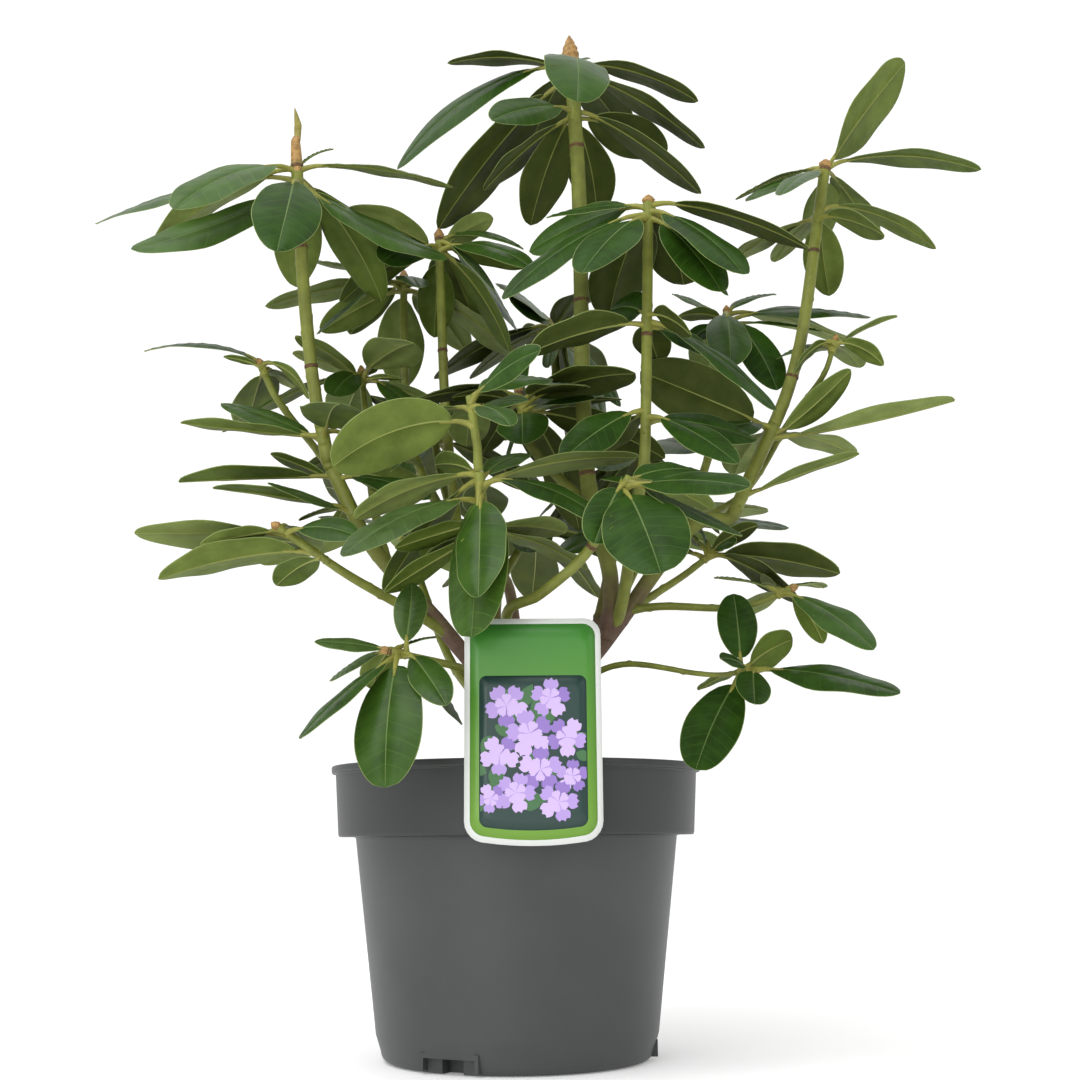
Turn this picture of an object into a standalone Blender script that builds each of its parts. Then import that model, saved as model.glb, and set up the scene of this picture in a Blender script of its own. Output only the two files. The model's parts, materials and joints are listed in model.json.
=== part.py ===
"""A large-leaved evergreen rhododendron in a round nursery pot, with a plant label hooked over the rim.

Metres, +Z up. The origin is the middle of the pot's flat underside, and the front faces -Y.
Headings are degrees round +Z from +X, so 270 points to the front. A rise is degrees above level.
"""

import math
import random
from typing import NamedTuple

import bmesh
import bpy
import numpy as np
from mathutils import Vector
from mathutils.bvhtree import BVHTree

MM = 0.001
GAP = 0.3 * MM
GAP_MM = 0.3

# Pot, in metres
POT_HEIGHT = 0.178
LIP_RADIUS = 0.1165
LIP_DEPTH = 0.0045
COLLAR_RADIUS = (0.1138, 0.1118)
COLLAR_BOTTOM = 0.1345
BODY_RADIUS = (0.1008, 0.0872)
FOOT_RADIUS = 0.0840
FOOT_ROUND = 0.006
WALL = 0.0024
FLOOR = 0.0030
POT_SEGMENTS = 32
NOTCH_HEADINGS = (243.0, 3.0, 123.0)
NOTCH_HEIGHT = 0.0090
NOTCH_WIDTH = 0.034
CHANNEL_WIDTH = 0.014
HOOD_DEPTH = 0.016
HOOD_ROOF = 0.0030

# Potting soil, in metres
SOIL_TOP = 0.158
SOIL_SEGMENTS = 20

# Plant label, in metres
LABEL_WIDTH = 0.078
LABEL_BOTTOM = 0.1285
LABEL_TOP = 0.257
LABEL_X = 0.0115
LABEL_THICK = 0.0010
LABEL_CORNER = 0.0095
LABEL_BOW = 0.004
LABEL_LEAN = 2.0
TONGUE_WIDTH = 0.020
TONGUE_REACH = 0.0095
TONGUE_DROP = 0.014

# Trunk, in millimetres like the shoots below
TRUNK_LINE = ((3, 2, 158.3), (3, 2, 166), (3, 1, 180), (4, 0, 206))
TRUNK_RADII = (15.0, 11.0, 9.5, 8.5)

# Leaves: shares of a leaf's whole length, and sizes in millimetres
PETIOLE = 0.15
LEAF_RIDGE = 0.6
LEAF_DROP = 0.11
PETIOLE_THICK = 2.6
ARCH = 26.0
KICK = 32.0
BLADE_SHARES = (0.2, 0.55, 0.86)
BROAD = 0.48
BLUNT = 0.55
POINTED = 0.7
DEALT_RISE = (-46, 4)
DEALT_REACH = (80, 108)
DEALT_ROLL = 26
CROWN_FLOOR = 328
CLEARANCE = 0.5
FOOT_SPREAD = 0.7
GOLDEN = 0.618
STRAIGHT_END = 5.0
NUDGES = tuple(
    (turn, lift)
    for lift, turn in sorted(
        ((lift, turn) for lift in range(-20, 21, 4) for turn in range(-20, 21, 4)),
        key=lambda pair: (abs(pair[0]) + abs(pair[1]), pair),
    )
)


class Leaf(NamedTuple):
    """Where a leaf's tip lies from its whorl's node, and its form. Reach is in millimetres."""

    heading: float
    rise: float
    reach: float
    roll: float = 0.0  # degrees that its right-hand edge, seen from its foot, is turned down
    width: float = 0.42  # share of its blade's length
    arch: float = 1.0  # how strongly it bends over, or sags where it is below 0
    cup: float = 1.0  # how far its edges drop, or rise where it is below 0


class Shoot(NamedTuple):
    """A bough and the whorl of leaves at its tip. Points and radii are in millimetres."""

    parent: str
    share: float  # where along the parent it leaves, or 1 to grow on from the parent's tip
    via: tuple  # points that the bough bends through
    node: tuple  # the whorl's middle
    lean: tuple  # heading of the tip, and its tilt from upright
    radii: tuple  # at the bough's foot and at its tip
    bud: float  # length of the bud on the tip, or 0
    extra: int  # leaves dealt by rule into the whorl's widest gaps
    leaves: tuple  # one Leaf's values a row
    older: dict = {}  # rows of last years' leaves, by how far down the whorl's stem they stand


SHOOTS = {
    "left_fork": Shoot(
        "trunk", 0.80, ((-45, 0, 265),), (-117, -6, 366), (175, 26), (5.6, 4.6), 0, 0,
        (
            (172, 22, 48, 24, 0.42, 0.3), (180, -1, 103, 2, 0.42, 0.1, -2), (333, -17, 75, 26),
            (29, -5, 70, -35),
        ),
        {
            24: (
                (188, 8, 90, 2, 0.42, 0.2, -1), (214, 9, 62, -32, 0.42, 0.2), (108, 30, 58, 60, 0.50),
                (162, -7, 38, -4, 0.42, 1.4), (124, -19, 26, 6),
            ),
        },
    ),
    "left_knee": Shoot(
        "left_fork", 1.0, (), (-125, -10, 392), (175, 12), (4.5, 4.4), 0, 0,
        (
            (169, 21, 77, -32, 0.42, 0.4), (191, 8, 92, 0, 0.38, -0.1, -1), (284, -1, 92, -8, 0.50),
            (40, -6, 80, 10),
        ),
    ),
    "left_tip": Shoot(
        "left_knee", 1.0, (), (-144, -20, 570), (180, 4), (4.3, 4.0), 40, 0,
        (
            (271, -46, 118, -12, 0.44, 1.2), (223, -28, 104, -32, 0.42, 1.4),
            (14, -26, 114, 45, 0.40, -0.5), (180, -27, 107, 4, 0.40, 1, -1),
            (203, -32, 126, -45, 0.36, -0.8), (174, -15, 142, -35, 0.31), (0, -5, 105, 12, 0.34),
            (46, -40, 105, -5), (98, -48, 80, 0, 0.46), (12, 42, 32, 30, 0.14, 2), (65, -20, 92),
        ),
    ),
    "left_twig": Shoot(
        "left_fork", 0.84, ((-128, 38, 384),), (-171, 20, 447), (170, 25), (3.0, 2.4), 4, 0,
        (
            (180, 10, 83, -22, 0.30, 2.0), (190, 18, 28, 15), (108, -15, 76, -22, 0.55),
            (346, -34, 41, -30, 0.34, 2.4), (74, 2, 60, 10),
        ),
    ),
    "left_low": Shoot(
        "left_fork", 0.44, (), (-144, -43, 323), (200, 58), (3.6, 2.6), 4, 0,
        ((180, 0, 94, 20, 0.42, 0.2), (200, -12, 53, 36, 0.42, 0.4), (330, -9, 58, 52), (85, 0, 80)),
        {28: ((189, -5, 101, 22, 0.42, 1, -1.5), (127, -10, 60, 22), (136, 13, 75, 28))},
    ),
    "left_back": Shoot(
        "left_fork", 0.76, (), (-108, 60, 452), (120, 14), (3.0, 2.2), 5, 3,
        (
            (171, 23, 56, 16), (37, 44, 23, -50, 0.60), (327, -9, 38, -14, 0.30),
            (251, -28, 52, -30, 0.50), (338, -32, 78, 26, 0.42, 1.2),
        ),
    ),
    "left_rear": Shoot(
        "inner_left", 0.30, ((-74, 84, 410),), (-82, 92, 532), (100, 5), (3.6, 2.6), 6, 4,
        (
            (163, -23, 72, 40), (137, -21, 65, 8), (60, -18, 90), (285, -20, 62),
            (188, -11, 102, 4, 0.42, 0.8),
        ),
    ),
    "front_low_left": Shoot(
        "trunk", 0.42, ((-10, -55, 222),), (-66, -112, 238), (190, 78), (3.4, 2.0), 5, 0,
        (
            (75, 62, 50, 0, 0.46), (192, 7, 48, -34, 0.42, 0.5), (228, -36, 88, 4, 0.34, 0.5),
            (160, -18, 46, -36), (268, -58, 92, 14, 0.50), (306, -33, 62, 30), (45, 22, 32),
            (60, -28, 78, 60), (110, -15, 60),
        ),
    ),
    "inner_left": Shoot(
        "left_fork", 0.22, ((-44, 34, 380),), (-53, 45, 543), (180, 2), (4.0, 3.0), 6, 0,
        (
            (26, 35, 51, -60), (6, 1, 60, 38, 0.25, 2.2), (326, -22, 84, 30, 0.42, 1.4),
            (325, -41, 64, 2, 0.30), (232, -25, 64, -50, 0.50), (117, -38, 76, 18, 0.45),
            (68, -34, 80, 16), (24, -52, 88), (47, -28, 90, 60), (150, -12, 90), (85, -5, 86),
        ),
    ),
    "centre_tip": Shoot(
        "right_fork", 0.37, ((62, 2, 300), (50, 6, 350), (46, 8, 420)), (41, 5, 654), (170, 3), (5.6, 4.9),
        22, 0,
        (
            (271, -37, 96, -15, 0.50, 2.6), (173, -27, 138, -45, 0.36, 1.8), (176, 8, 88, -8, 0.36, 1.4),
            (3, -12, 90, 4, 0.42, 1.4), (10, -27, 106, 6, 0.40), (155, -42, 142, 4),
            (72, 38, 50, 0, 0.34), (62, -8, 92), (110, -14, 96),
        ),
        {
            30: (
                (225, -21, 84, -50, 0.42), (150, -28, 84, -10), (115, -32, 92, -6, 0.46),
                (77, -28, 90, 10, 0.46), (37, -5, 84, -32, 0.46), (15, -28, 104, 4, 0.40),
            ),
        },
    ),
    "right_fork": Shoot(
        "trunk", 0.88, ((52, -2, 250), (114, 9, 332)), (172, 20, 400), (10, 26), (7.0, 4.6), 0, 0,
        (
            (0, 10, 128, 0, 0.38, -0.2, -2), (183, 26, 97, 68, 0.50, 0.5), (350, 45, 69, -34, 0.42, -0.6),
            (227, -13, 80, -26), (95, -5, 90), (38, -2, 85),
        ),
        {52: ((353, 20, 85, -4, 0.36, 0.2, -1),)},
    ),
    "right_tip": Shoot(
        "right_fork", 1.0, (), (217, 25, 588), (12, 10), (4.4, 3.8), 5, 0,
        (
            (13, 54, 112, -40, 0.46, 0.4), (0, 1, 110, 6, 0.40, 1.3), (188, -22, 62, -34, 0.36),
            (168, -20, 64, -10, 0.36), (231, -30, 72, -8, 0.40), (85, -16, 84, -20), (55, -18, 80, 20),
        ),
        {
            34: (
                (303, -28, 70, -38), (0, -16, 84, 0, 0.38, 1.8), (107, -5, 72, -20), (130, -10, 88, -14),
                (75, -25, 78),
            ),
        },
    ),
    "right_twig": Shoot(
        "right_fork", 0.85, ((158, 42, 366), (190, 46, 416)), (217, 20, 460), (10, 18), (2.6, 1.8), 4, 0,
        (
            (0, 26, 50, 0, 0.34, 1, -1), (342, -26, 37, -42, 0.46, 2), (166, -1, 43, -30, 0.38, 1.8),
            (202, -35, 40, 30, 0.42, 1.8), (60, 0, 56), (110, 15, 50),
        ),
    ),
    "right_back": Shoot(
        "right_fork", 0.75, (), (151, 70, 496), (60, 4), (3.2, 2.3), 5, 2,
        (
            (165, 32, 46, -28, 0.36), (27, 31, 52, 20, 0.36, 1.6), (3, 2, 105, 30), (20, 0, 108, 10),
            (210, -4, 42, 24), (228, -30, 50, -30), (311, -50, 76, 30, 0.46),
        ),
    ),
    "right_mid": Shoot(
        "right_fork", 0.46, (), (128, 20, 316), (10, 52), (3.0, 2.2), 4, 0,
        (
            (353, -9, 87, -28, 0.44, 1, -0.5), (330, -29, 72, -38), (0, 44, 40, -50), (296, 6, 34, 52),
            (121, 34, 60, 46), (145, 8, 64, -28), (101, 43, 56, 60, 0.50),
        ),
    ),
    "right_low": Shoot(
        "right_fork", 0.48, (), (170, -30, 284), (345, 68), (2.8, 2.0), 4, 0,
        (
            (313, -33, 78, 22), (30, -46, 43, -46), (95, 25, 40, 60), (62, 10, 50), (110, 0, 60),
            (150, 16, 50),
        ),
    ),
    "front_low_right": Shoot(
        "trunk", 0.62, ((58, -22, 238),), (143, -50, 232), (350, 84), (2.4, 1.5), 4, 0,
        (
            (100, 64, 58, 0, 0.50), (234, 9, 34, -54), (20, 34, 38, -60, 0.70), (267, -28, 50, -16, 0.50),
            (327, -11, 98, 24, 0.46, 0.6), (227, -48, 82, -28, 0.50, 0.4), (75, 5, 48), (130, -10, 44),
        ),
    ),
    "inner_right": Shoot(
        "right_fork", 0.42, ((76, -38, 330),), (88, -50, 530), (20, 2), (4.2, 3.4), 4, 0,
        (
            (233, -40, 98, -16, 0.46), (171, 1, 67, -36, 0.32), (198, -35, 120, -25, 0.40),
            (0, -14, 107, 4), (320, -40, 92, 16, 0.50), (330, -52, 80, 38, 0.52),
            (150, -6, 90, -65, 0.46), (107, -21, 105, -8, 0.50), (71, -11, 95, 2, 0.50),
            (35, -33, 80, 60),
        ),
        {
            74: (
                (188, -17, 79, 20, 0.50, 1, -1.5), (301, -25, 52, -54), (2, -36, 100, 34, 0.38),
                (35, -12, 55, 66), (113, 24, 60, -64, 0.50), (80, -5, 70),
            ),
            138: (
                (202, -29, 66, -58, 0.46), (323, -31, 76, 28, 0.46), (20, -6, 78, 52), (117, -10, 60, 2),
            ),
        },
    ),
    "front_right": Shoot(
        "trunk", 0.55, ((8, -42, 232), (-4, -80, 264), (16, -96, 274), (43, -106, 296)), (66, -118, 334),
        (350, 32), (3.4, 3.0), 0, 0,
        (
            (282, -42, 94, 20, 0.60), (240, -38, 56, -34, 0.50), (320, -9, 86, 34, 0.42, 0.6),
            (326, -27, 84, 10, 0.36, 0.2), (35, 16, 60, 40), (90, 15, 70), (45, -2, 80),
        ),
    ),
    "front_fork": Shoot(
        "trunk", 0.90, ((-2, -50, 280),), (-19, -100, 340), (250, 16), (3.8, 3.2), 0, 0,
        (
            (271, -57, 90, 28, 0.46, 0.8), (265, -60, 104, 32, 0.50, 0.4), (334, -22, 90, 20, 0.42, 1.6),
            (129, 24, 50, 60), (53, 30, 55, 20), (19, 17, 105, -8), (138, -34, 100, -16), (90, -5, 80),
            (160, -10, 84, 10),
        ),
        {
            13: ((218, -23, 104, -18, 0.42, 1.2),),
            26: (
                (180, -33, 71, 20, 0.42, 0.3), (195, -15, 56, 34, 0.42, 0.3), (45, 5, 70, -24, 0.42, 0.5),
                (42, -3, 85, 4), (149, 10, 60, 26), (171, -33, 63, 10),
            ),
        },
    ),
    "front_tip": Shoot(
        "front_fork", 1.0, (), (-24, -103, 387), (190, 8), (3.0, 2.6), 0, 0,
        (
            (328, -4, 40, 42), (311, 17, 66, 70), (296, -25, 60, 12), (45, 24, 75, 25), (95, -5, 74),
            (140, 0, 66),
        ),
        {15: ((187, -16, 87, 58, 0.52, 1.4),)},
    ),
    "rear_centre": Shoot(
        "centre_tip", 0.33, ((40, 70, 410),), (28, 110, 500), (95, 10), (4.0, 3.0), 7, 5,
        (
            (113, 11, 60, 54), (244, 3, 70, -60), (262, -46, 50, 38), (311, -80, 88, -60, 0.50),
            (326, -62, 90, 4), (11, -43, 73, 54), (229, 5, 90, -46), (33, -66, 100),
        ),
    ),
    "rear_left": Shoot(
        "left_fork", 0.12, ((-40, 90, 340),), (-62, 140, 428), (120, 16), (4.0, 2.8), 7, 8, (),
    ),
    "rear_right": Shoot(
        "right_fork", 0.24, ((70, 90, 340),), (92, 138, 420), (60, 16), (4.0, 2.8), 7, 8, (),
    ),
    "rear_low": Shoot(
        "trunk", 0.60, ((-14, 60, 285), (2, 104, 338)), (14, 146, 358), (90, 40), (3.6, 2.6), 6, 7,
        ((57, -24, 96, 22), (21, -12, 90, -26)),
    ),
    "rear_low_left": Shoot(
        "trunk", 0.50, ((-45, 60, 252),), (-84, 112, 348), (135, 35), (3.6, 2.4), 6, 7, (),
    ),
    "rear_low_right": Shoot(
        "trunk", 0.46, ((50, 60, 252),), (98, 108, 348), (45, 35), (3.6, 2.4), 6, 7, (),
    ),
    "core": Shoot(
        "centre_tip", 0.25, ((26, 20, 374),), (4, 20, 420), (150, 8), (3.8, 2.8), 6, 8,
        (
            (69, 19, 80, 34), (116, -16, 70, -12), (251, -58, 60, 60, 0.50), (76, -20, 80, 16),
            (91, 50, 70, -58), (60, -38, 90, 18), (100, -5, 70, -2),
        ),
    ),
}
WHORL_PITCH = 1.6
BOUGH_STEP = 38.0


# Directions and lines


def direction(heading, rise):
    """The unit vector of a heading and a rise in degrees."""
    turn = math.radians(heading)
    lift = math.radians(rise)
    return np.array((math.cos(turn) * math.cos(lift), math.sin(turn) * math.cos(lift), math.sin(lift)))


def unit(vector):
    return vector / np.linalg.norm(vector)


def smooth_line(knots, leave, arrive, step):
    """Points about a step apart on Hermite spans through the knots, from one end direction to the other."""
    knots = np.array(knots, float)
    spans = np.linalg.norm(np.diff(knots, axis=0), axis=1)
    slopes = np.gradient(knots, axis=0)
    slopes[0] = leave * spans[0]
    slopes[-1] = arrive * spans[-1]
    points = [knots[:1]]
    for i, span in enumerate(spans):
        t = np.linspace(0, 1, max(2, round(span / step)) + 1)[1:, None]
        points.append(
            (2 * t**3 - 3 * t**2 + 1) * knots[i]
            + (t**3 - 2 * t**2 + t) * slopes[i]
            + (3 * t**2 - 2 * t**3) * knots[i + 1]
            + (t**3 - t**2) * slopes[i + 1]
        )
    return np.concatenate(points)


def point_at(line, share):
    """The point at a share of a line's length, and the line's direction there."""
    lengths = np.linalg.norm(np.diff(line, axis=0), axis=1)
    travelled = np.concatenate(([0.0], np.cumsum(lengths)))
    target = share * travelled[-1]
    index = min(int(np.searchsorted(travelled, target, side="right")) - 1, len(lengths) - 1)
    along = unit(line[index + 1] - line[index])
    return line[index] + along * (target - travelled[index]), along


def tube(line, radii, sides=6):
    """Points and faces of a closed tube: rings square to the line, joined by quads and capped."""
    along = np.gradient(line, axis=0)
    along /= np.linalg.norm(along, axis=1)[:, None]
    side = np.cross(along, (0.31, 0.95, 0.05))
    side /= np.linalg.norm(side, axis=1)[:, None]
    front = np.cross(along, side)
    turn = np.arange(sides) * 2 * np.pi / sides
    rings = side[:, None] * np.cos(turn)[:, None] + front[:, None] * np.sin(turn)[:, None]
    points = (line[:, None] + rings * np.asarray(radii)[:, None, None]).reshape(-1, 3)
    first = np.arange(len(line) - 1)[:, None] * sides + np.arange(sides)
    after = np.arange(len(line) - 1)[:, None] * sides + (np.arange(sides) + 1) % sides
    quads = np.stack((first, after, after + sides, first + sides), -1).reshape(-1, 4).tolist()
    last = (len(line) - 1) * sides
    caps = [list(range(sides))[::-1], list(range(last, last + sides))]
    return points, quads + caps


# The plant's plan: lines and radii in millimetres


def whorl_half(shoot):
    """Half the length of stem that a whorl's leaves stand on."""
    return max(6.0, WHORL_PITCH * (len(shoot.leaves) + shoot.extra) / 2)


def whorl_stem(shoot):
    """The foot, the top and the direction of the short stem that a whorl's leaves stand on."""
    heading, tilt = shoot.lean
    up = direction(heading, 90 - tilt)
    half = whorl_half(shoot)
    node = np.array(shoot.node, float)
    return node - up * (half + max(shoot.older, default=0)), node + up * half, up


def bough_line(shoot, lines):
    """A bough's points, from inside its parent or just above it to just below its whorl's stem."""
    foot, _, up = whorl_stem(shoot)
    last = foot - up * GAP_MM
    knots = [np.array(point, float) for point in shoot.via] + [last - up * STRAIGHT_END]
    if shoot.share >= 1:
        _, top, along = whorl_stem(SHOOTS[shoot.parent])
        start = top + along * GAP_MM
        knots.insert(0, start + along * STRAIGHT_END)
        return np.concatenate(([start], smooth_line(knots, along, up, BOUGH_STEP), [last]))
    start, along = point_at(lines[shoot.parent], shoot.share)
    leave = unit(unit(knots[0] - start) + 0.5 * along)
    return np.concatenate((smooth_line([start, *knots], leave, up, BOUGH_STEP), [last]))


def plan_boughs():
    """Each bough's line and the radius at each of its points, parents before children."""
    lines = {"trunk": np.array(TRUNK_LINE, float)}
    radii = {"trunk": np.array(TRUNK_RADII)}
    waiting = dict(SHOOTS)
    while waiting:
        for name, shoot in list(waiting.items()):
            if shoot.parent in lines:
                lines[name] = bough_line(shoot, lines)
                radii[name] = np.linspace(*shoot.radii, len(lines[name]))
                del waiting[name]
    return lines, radii


def leaf_midrib(foot, tip, arch, shares):
    """Points at shares of a leaf's length: an arc in an upright plane, its foot lifted as a petiole is."""
    s = np.linspace(0, 1, 61)
    bend = arch * np.radians(ARCH * (0.5 - s) + KICK * np.exp(-s / (0.6 * PETIOLE)))
    plan = np.concatenate(([0], np.cumsum(np.exp(1j * bend[1:]))))
    plan = np.interp(shares, s, plan / plan[-1])
    chord = tip - foot
    side = unit(np.cross(chord, (0, 0, 1)))
    rise = np.cross(side, chord)
    return foot + plan.real[:, None] * chord + plan.imag[:, None] * rise, side


def blade_shape(u, width):
    """The share of its full width that a blade has at a share of its length. A broad blade is blunter."""
    return np.sin(np.pi * u**1.08) ** (BLUNT if width >= BROAD else POINTED)


def leaf_loft(foot, tip, roll, width, arch, cup, puff=0.0, whole=True):
    """Points and faces of a leaf: three-cornered sections along its midrib that close in a point."""
    blade = np.array(BLADE_SHARES)
    shares = np.concatenate(((0, PETIOLE), PETIOLE + (1 - PETIOLE) * blade, (1,)))
    middle, side = leaf_midrib(foot, tip, arch, shares)
    length = np.linalg.norm(np.diff(middle, axis=0), axis=1).sum() * (1 - PETIOLE)
    along = np.gradient(middle, axis=0)
    along /= np.linalg.norm(along, axis=1)[:, None]
    up = np.cross(side, along)
    turn = math.radians(roll) * np.concatenate(((0, 0.5), np.ones(len(blade) + 1)))[:, None]
    flat = side * np.cos(turn) - up * np.sin(turn)
    flat -= along * (flat * along).sum(1)[:, None]
    flat /= np.linalg.norm(flat, axis=1)[:, None]
    up = np.cross(flat, along)
    half = np.concatenate(((PETIOLE_THICK / 2,) * 2, width * length / 2 * blade_shape(blade, width)))
    half = half[:, None] + puff
    ridge = np.array([PETIOLE_THICK / 2] * 2 + [LEAF_RIDGE] * len(blade))[:, None] + puff
    drop = np.array([PETIOLE_THICK / 3] * 2 + [0.0] * len(blade))[:, None] + LEAF_DROP * half * max(cup, 0)
    middle, last = middle[:-1], middle[-1:]
    flat, up = flat[:-1], up[:-1]
    edges = middle - up * drop
    points = np.stack((edges + flat * half, middle + up * ridge, edges - flat * half), 1)
    if not whole:
        points = points[2:]
    rings = len(points)
    points = np.concatenate((points.reshape(-1, 3), last))
    faces = [[0, 1, 2]]
    for ring in range(rings - 1):
        for k in range(3):
            a, b = 3 * ring + k, 3 * ring + (k + 1) % 3
            faces.append([a, a + 3, b + 3, b])
    top = 3 * (rings - 1)
    faces += [[top + k, 3 * rings, top + (k + 1) % 3] for k in range(3)]
    return points, faces


class Block(NamedTuple):
    """Something that leaves stay clear of: who owns it, its box and its faces in a search tree."""

    owner: str
    low: np.ndarray
    high: np.ndarray
    tree: BVHTree


def block(owner, points, faces):
    return Block(owner, points.min(0), points.max(0), BVHTree.FromPolygons(points.tolist(), faces))


def touches(found, blocks, own):
    """Whether a block crosses any of the others, leaving out those that its own whorl owns."""
    for other in blocks:
        if other.owner == own or (other.low > found.high).any() or (found.low > other.high).any():
            continue
        if other.tree.overlap(found.tree):
            return True
    return False


def fixed_blocks(lines, radii):
    """The pot, the label, the boughs and the whorls' stems, as blocks."""
    pot = tube(np.array(((0, 0, 0), (0, 0, POT_HEIGHT / MM + 1))), (LIP_RADIUS / MM + 1.0,) * 2, 40)
    middle = np.array(
        [(LABEL_X / MM, -LIP_RADIUS / MM - 1.0, z / MM) for z in (LABEL_BOTTOM, LABEL_TOP + 0.003)]
    )
    across = np.array(((-0.5, -0.04), (0.5, -0.04), (0.5, 0.06), (-0.5, 0.06))) * LABEL_WIDTH / MM
    corners = (middle[:, None] + np.pad(across, ((0, 0), (0, 1)))).reshape(-1, 3)
    card = [[0, 3, 2, 1], [4, 5, 6, 7], [0, 1, 5, 4], [1, 2, 6, 5], [2, 3, 7, 6], [3, 0, 4, 7]]
    blocks = [block("pot", *pot), block("label", corners, card)]
    for name, line in lines.items():
        blocks.append(block("bough", *tube(line, radii[name] + 0.4)))
    for name, shoot in SHOOTS.items():
        foot, top, _ = whorl_stem(shoot)
        blocks.append(block(name, *tube(np.array((foot, top)), (shoot.radii[1] + 0.4,) * 2)))
    return blocks


def dealt_leaves(shoot, placed, seed):
    """Rows for leaves dealt one by one into the middle of a whorl's widest gap, at rises and reaches from a
    seeded draw. None hangs below the crown's floor."""
    draw = random.Random(seed)
    headings = [heading % 360 for heading in placed] or [draw.uniform(0, 360)]
    for _ in range(shoot.extra):
        ring = sorted(headings)
        gaps = [(after - before, before) for before, after in zip(ring, [*ring[1:], ring[0] + 360])]
        width, before = max(gaps)
        heading = (before + width / 2 + draw.uniform(-8, 8)) % 360
        headings.append(heading)
        reach = draw.uniform(*DEALT_REACH)
        lowest = math.degrees(math.asin(max(-1, (CROWN_FLOOR - shoot.node[2]) / reach)))
        yield heading, max(lowest, draw.uniform(*DEALT_RISE)), reach, draw.uniform(-DEALT_ROLL, DEALT_ROLL)


def place_leaves(lines, radii):
    """Every whorl's leaves as (foot, tip, roll, width, arch, cup): those set by hand, then those dealt.
    A leaf that would touch a limb or a leaf is turned or lifted a little, and one that finds no clear
    place is skipped."""
    blocks = fixed_blocks(lines, radii)
    blades = {name: [] for name in SHOOTS}
    leaves = {name: [] for name in SHOOTS}
    headings = {name: [] for name in SHOOTS}
    for dealt in (False, True):
        for seed, (name, shoot) in enumerate(SHOOTS.items()):
            up = whorl_stem(shoot)[2]
            rows = [(leaf, 0) for leaf in shoot.leaves]
            rows += [(leaf, drop) for drop, tier in shoot.older.items() for leaf in tier]
            if dealt:
                rows = ((leaf, 0) for leaf in dealt_leaves(shoot, headings[name], seed))
            for row, drop in rows:
                leaf = Leaf(*row)
                node = np.array(shoot.node) - up * drop
                spread = 2 * (GOLDEN * len(leaves[name]) % 1) - 1
                root = node + up * whorl_half(shoot) * FOOT_SPREAD * spread
                for turn, lift in NUDGES:
                    way = direction(leaf.heading + turn, max(-84, leaf.rise + lift))
                    form = (root, node + leaf.reach * way, leaf.roll, leaf.width, leaf.arch, leaf.cup)
                    whole = block(name, *leaf_loft(*form, CLEARANCE))
                    blade = block(name + "_blade", *leaf_loft(*form, CLEARANCE, False))
                    if not touches(whole, blocks, name) and not touches(blade, blades[name], ""):
                        blocks.append(whole)
                        blades[name].append(blade)
                        leaves[name].append(form)
                        headings[name].append(leaf.heading + turn)
                        break
    return leaves


# Blender helpers


def srgb(code):
    """The linear colour of an sRGB hex code."""
    channels = [int(code[i : i + 2], 16) / 255 for i in (1, 3, 5)]
    return [c / 12.92 if c <= 0.04045 else ((c + 0.055) / 1.055) ** 2.4 for c in channels]


def finish(name, code, roughness):
    """A Principled material of one colour."""
    material = bpy.data.materials.new(name)
    material.use_nodes = True
    shader = material.node_tree.nodes["Principled BSDF"]
    shader.inputs["Base Color"].default_value = (*srgb(code), 1)
    shader.inputs["Roughness"].default_value = roughness
    shader.inputs["Metallic"].default_value = 0.0
    return material


def pot_plastic(name):
    return finish(name, "#55585A", 0.55)


def potting_soil(name):
    return finish(name, "#2E2620", 0.95)


def label_card(name):
    return finish(name, "#5C9138", 0.40)


def bark(name):
    return finish(name, "#6B5A3C", 0.80)


def leaf_green(name):
    return finish(name, "#43683A", 0.50)


def add_object(name, mesh, collection, material=None):
    found = bpy.data.objects.new(name, mesh)
    collection.objects.link(found)
    if material:
        mesh.materials.clear()
        mesh.materials.append(material)
    return found


def add_cutter(name, mesh, cutters):
    found = add_object(name, mesh, cutters)
    found.hide_render = True
    found.display_type = "WIRE"
    return found


def mesh_of(name, points, faces):
    mesh = bpy.data.meshes.new(name)
    mesh.from_pydata(points.tolist(), [], faces)
    mesh.validate()
    return mesh


def box_mesh(name, low, high):
    """A box between two corners."""
    mesh = bpy.data.meshes.new(name)
    shape = bmesh.new()
    bmesh.ops.create_cube(shape, size=1)
    size = Vector(high) - Vector(low)
    bmesh.ops.scale(shape, vec=size, verts=shape.verts)
    bmesh.ops.translate(shape, vec=Vector(low) + size / 2, verts=shape.verts)
    shape.to_mesh(mesh)
    shape.free()
    return mesh


def turned(name, profile, collection, material, segments=POT_SEGMENTS):
    """A profile at +X turned round Z."""
    mesh = bpy.data.meshes.new(name)
    points = [(x, 0, z) for x, z in profile]
    mesh.from_pydata(points, [(i, i + 1) for i in range(len(points) - 1)], [])
    found = add_object(name, mesh, collection, material)
    screw = found.modifiers.new("turn", "SCREW")
    screw.steps = segments
    screw.render_steps = segments
    screw.use_merge_vertices = True
    screw.merge_threshold = 0.0001
    screw.use_smooth_shade = False
    return found


def boolean(target, name, operation, other, solver="EXACT"):
    """A Boolean with one object, or with all of a collection."""
    change = target.modifiers.new(name, "BOOLEAN")
    change.operation = operation
    change.solver = solver
    if isinstance(other, bpy.types.Collection):
        change.operand_type = "COLLECTION"
        change.collection = other
    else:
        change.object = other
    return change


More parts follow.
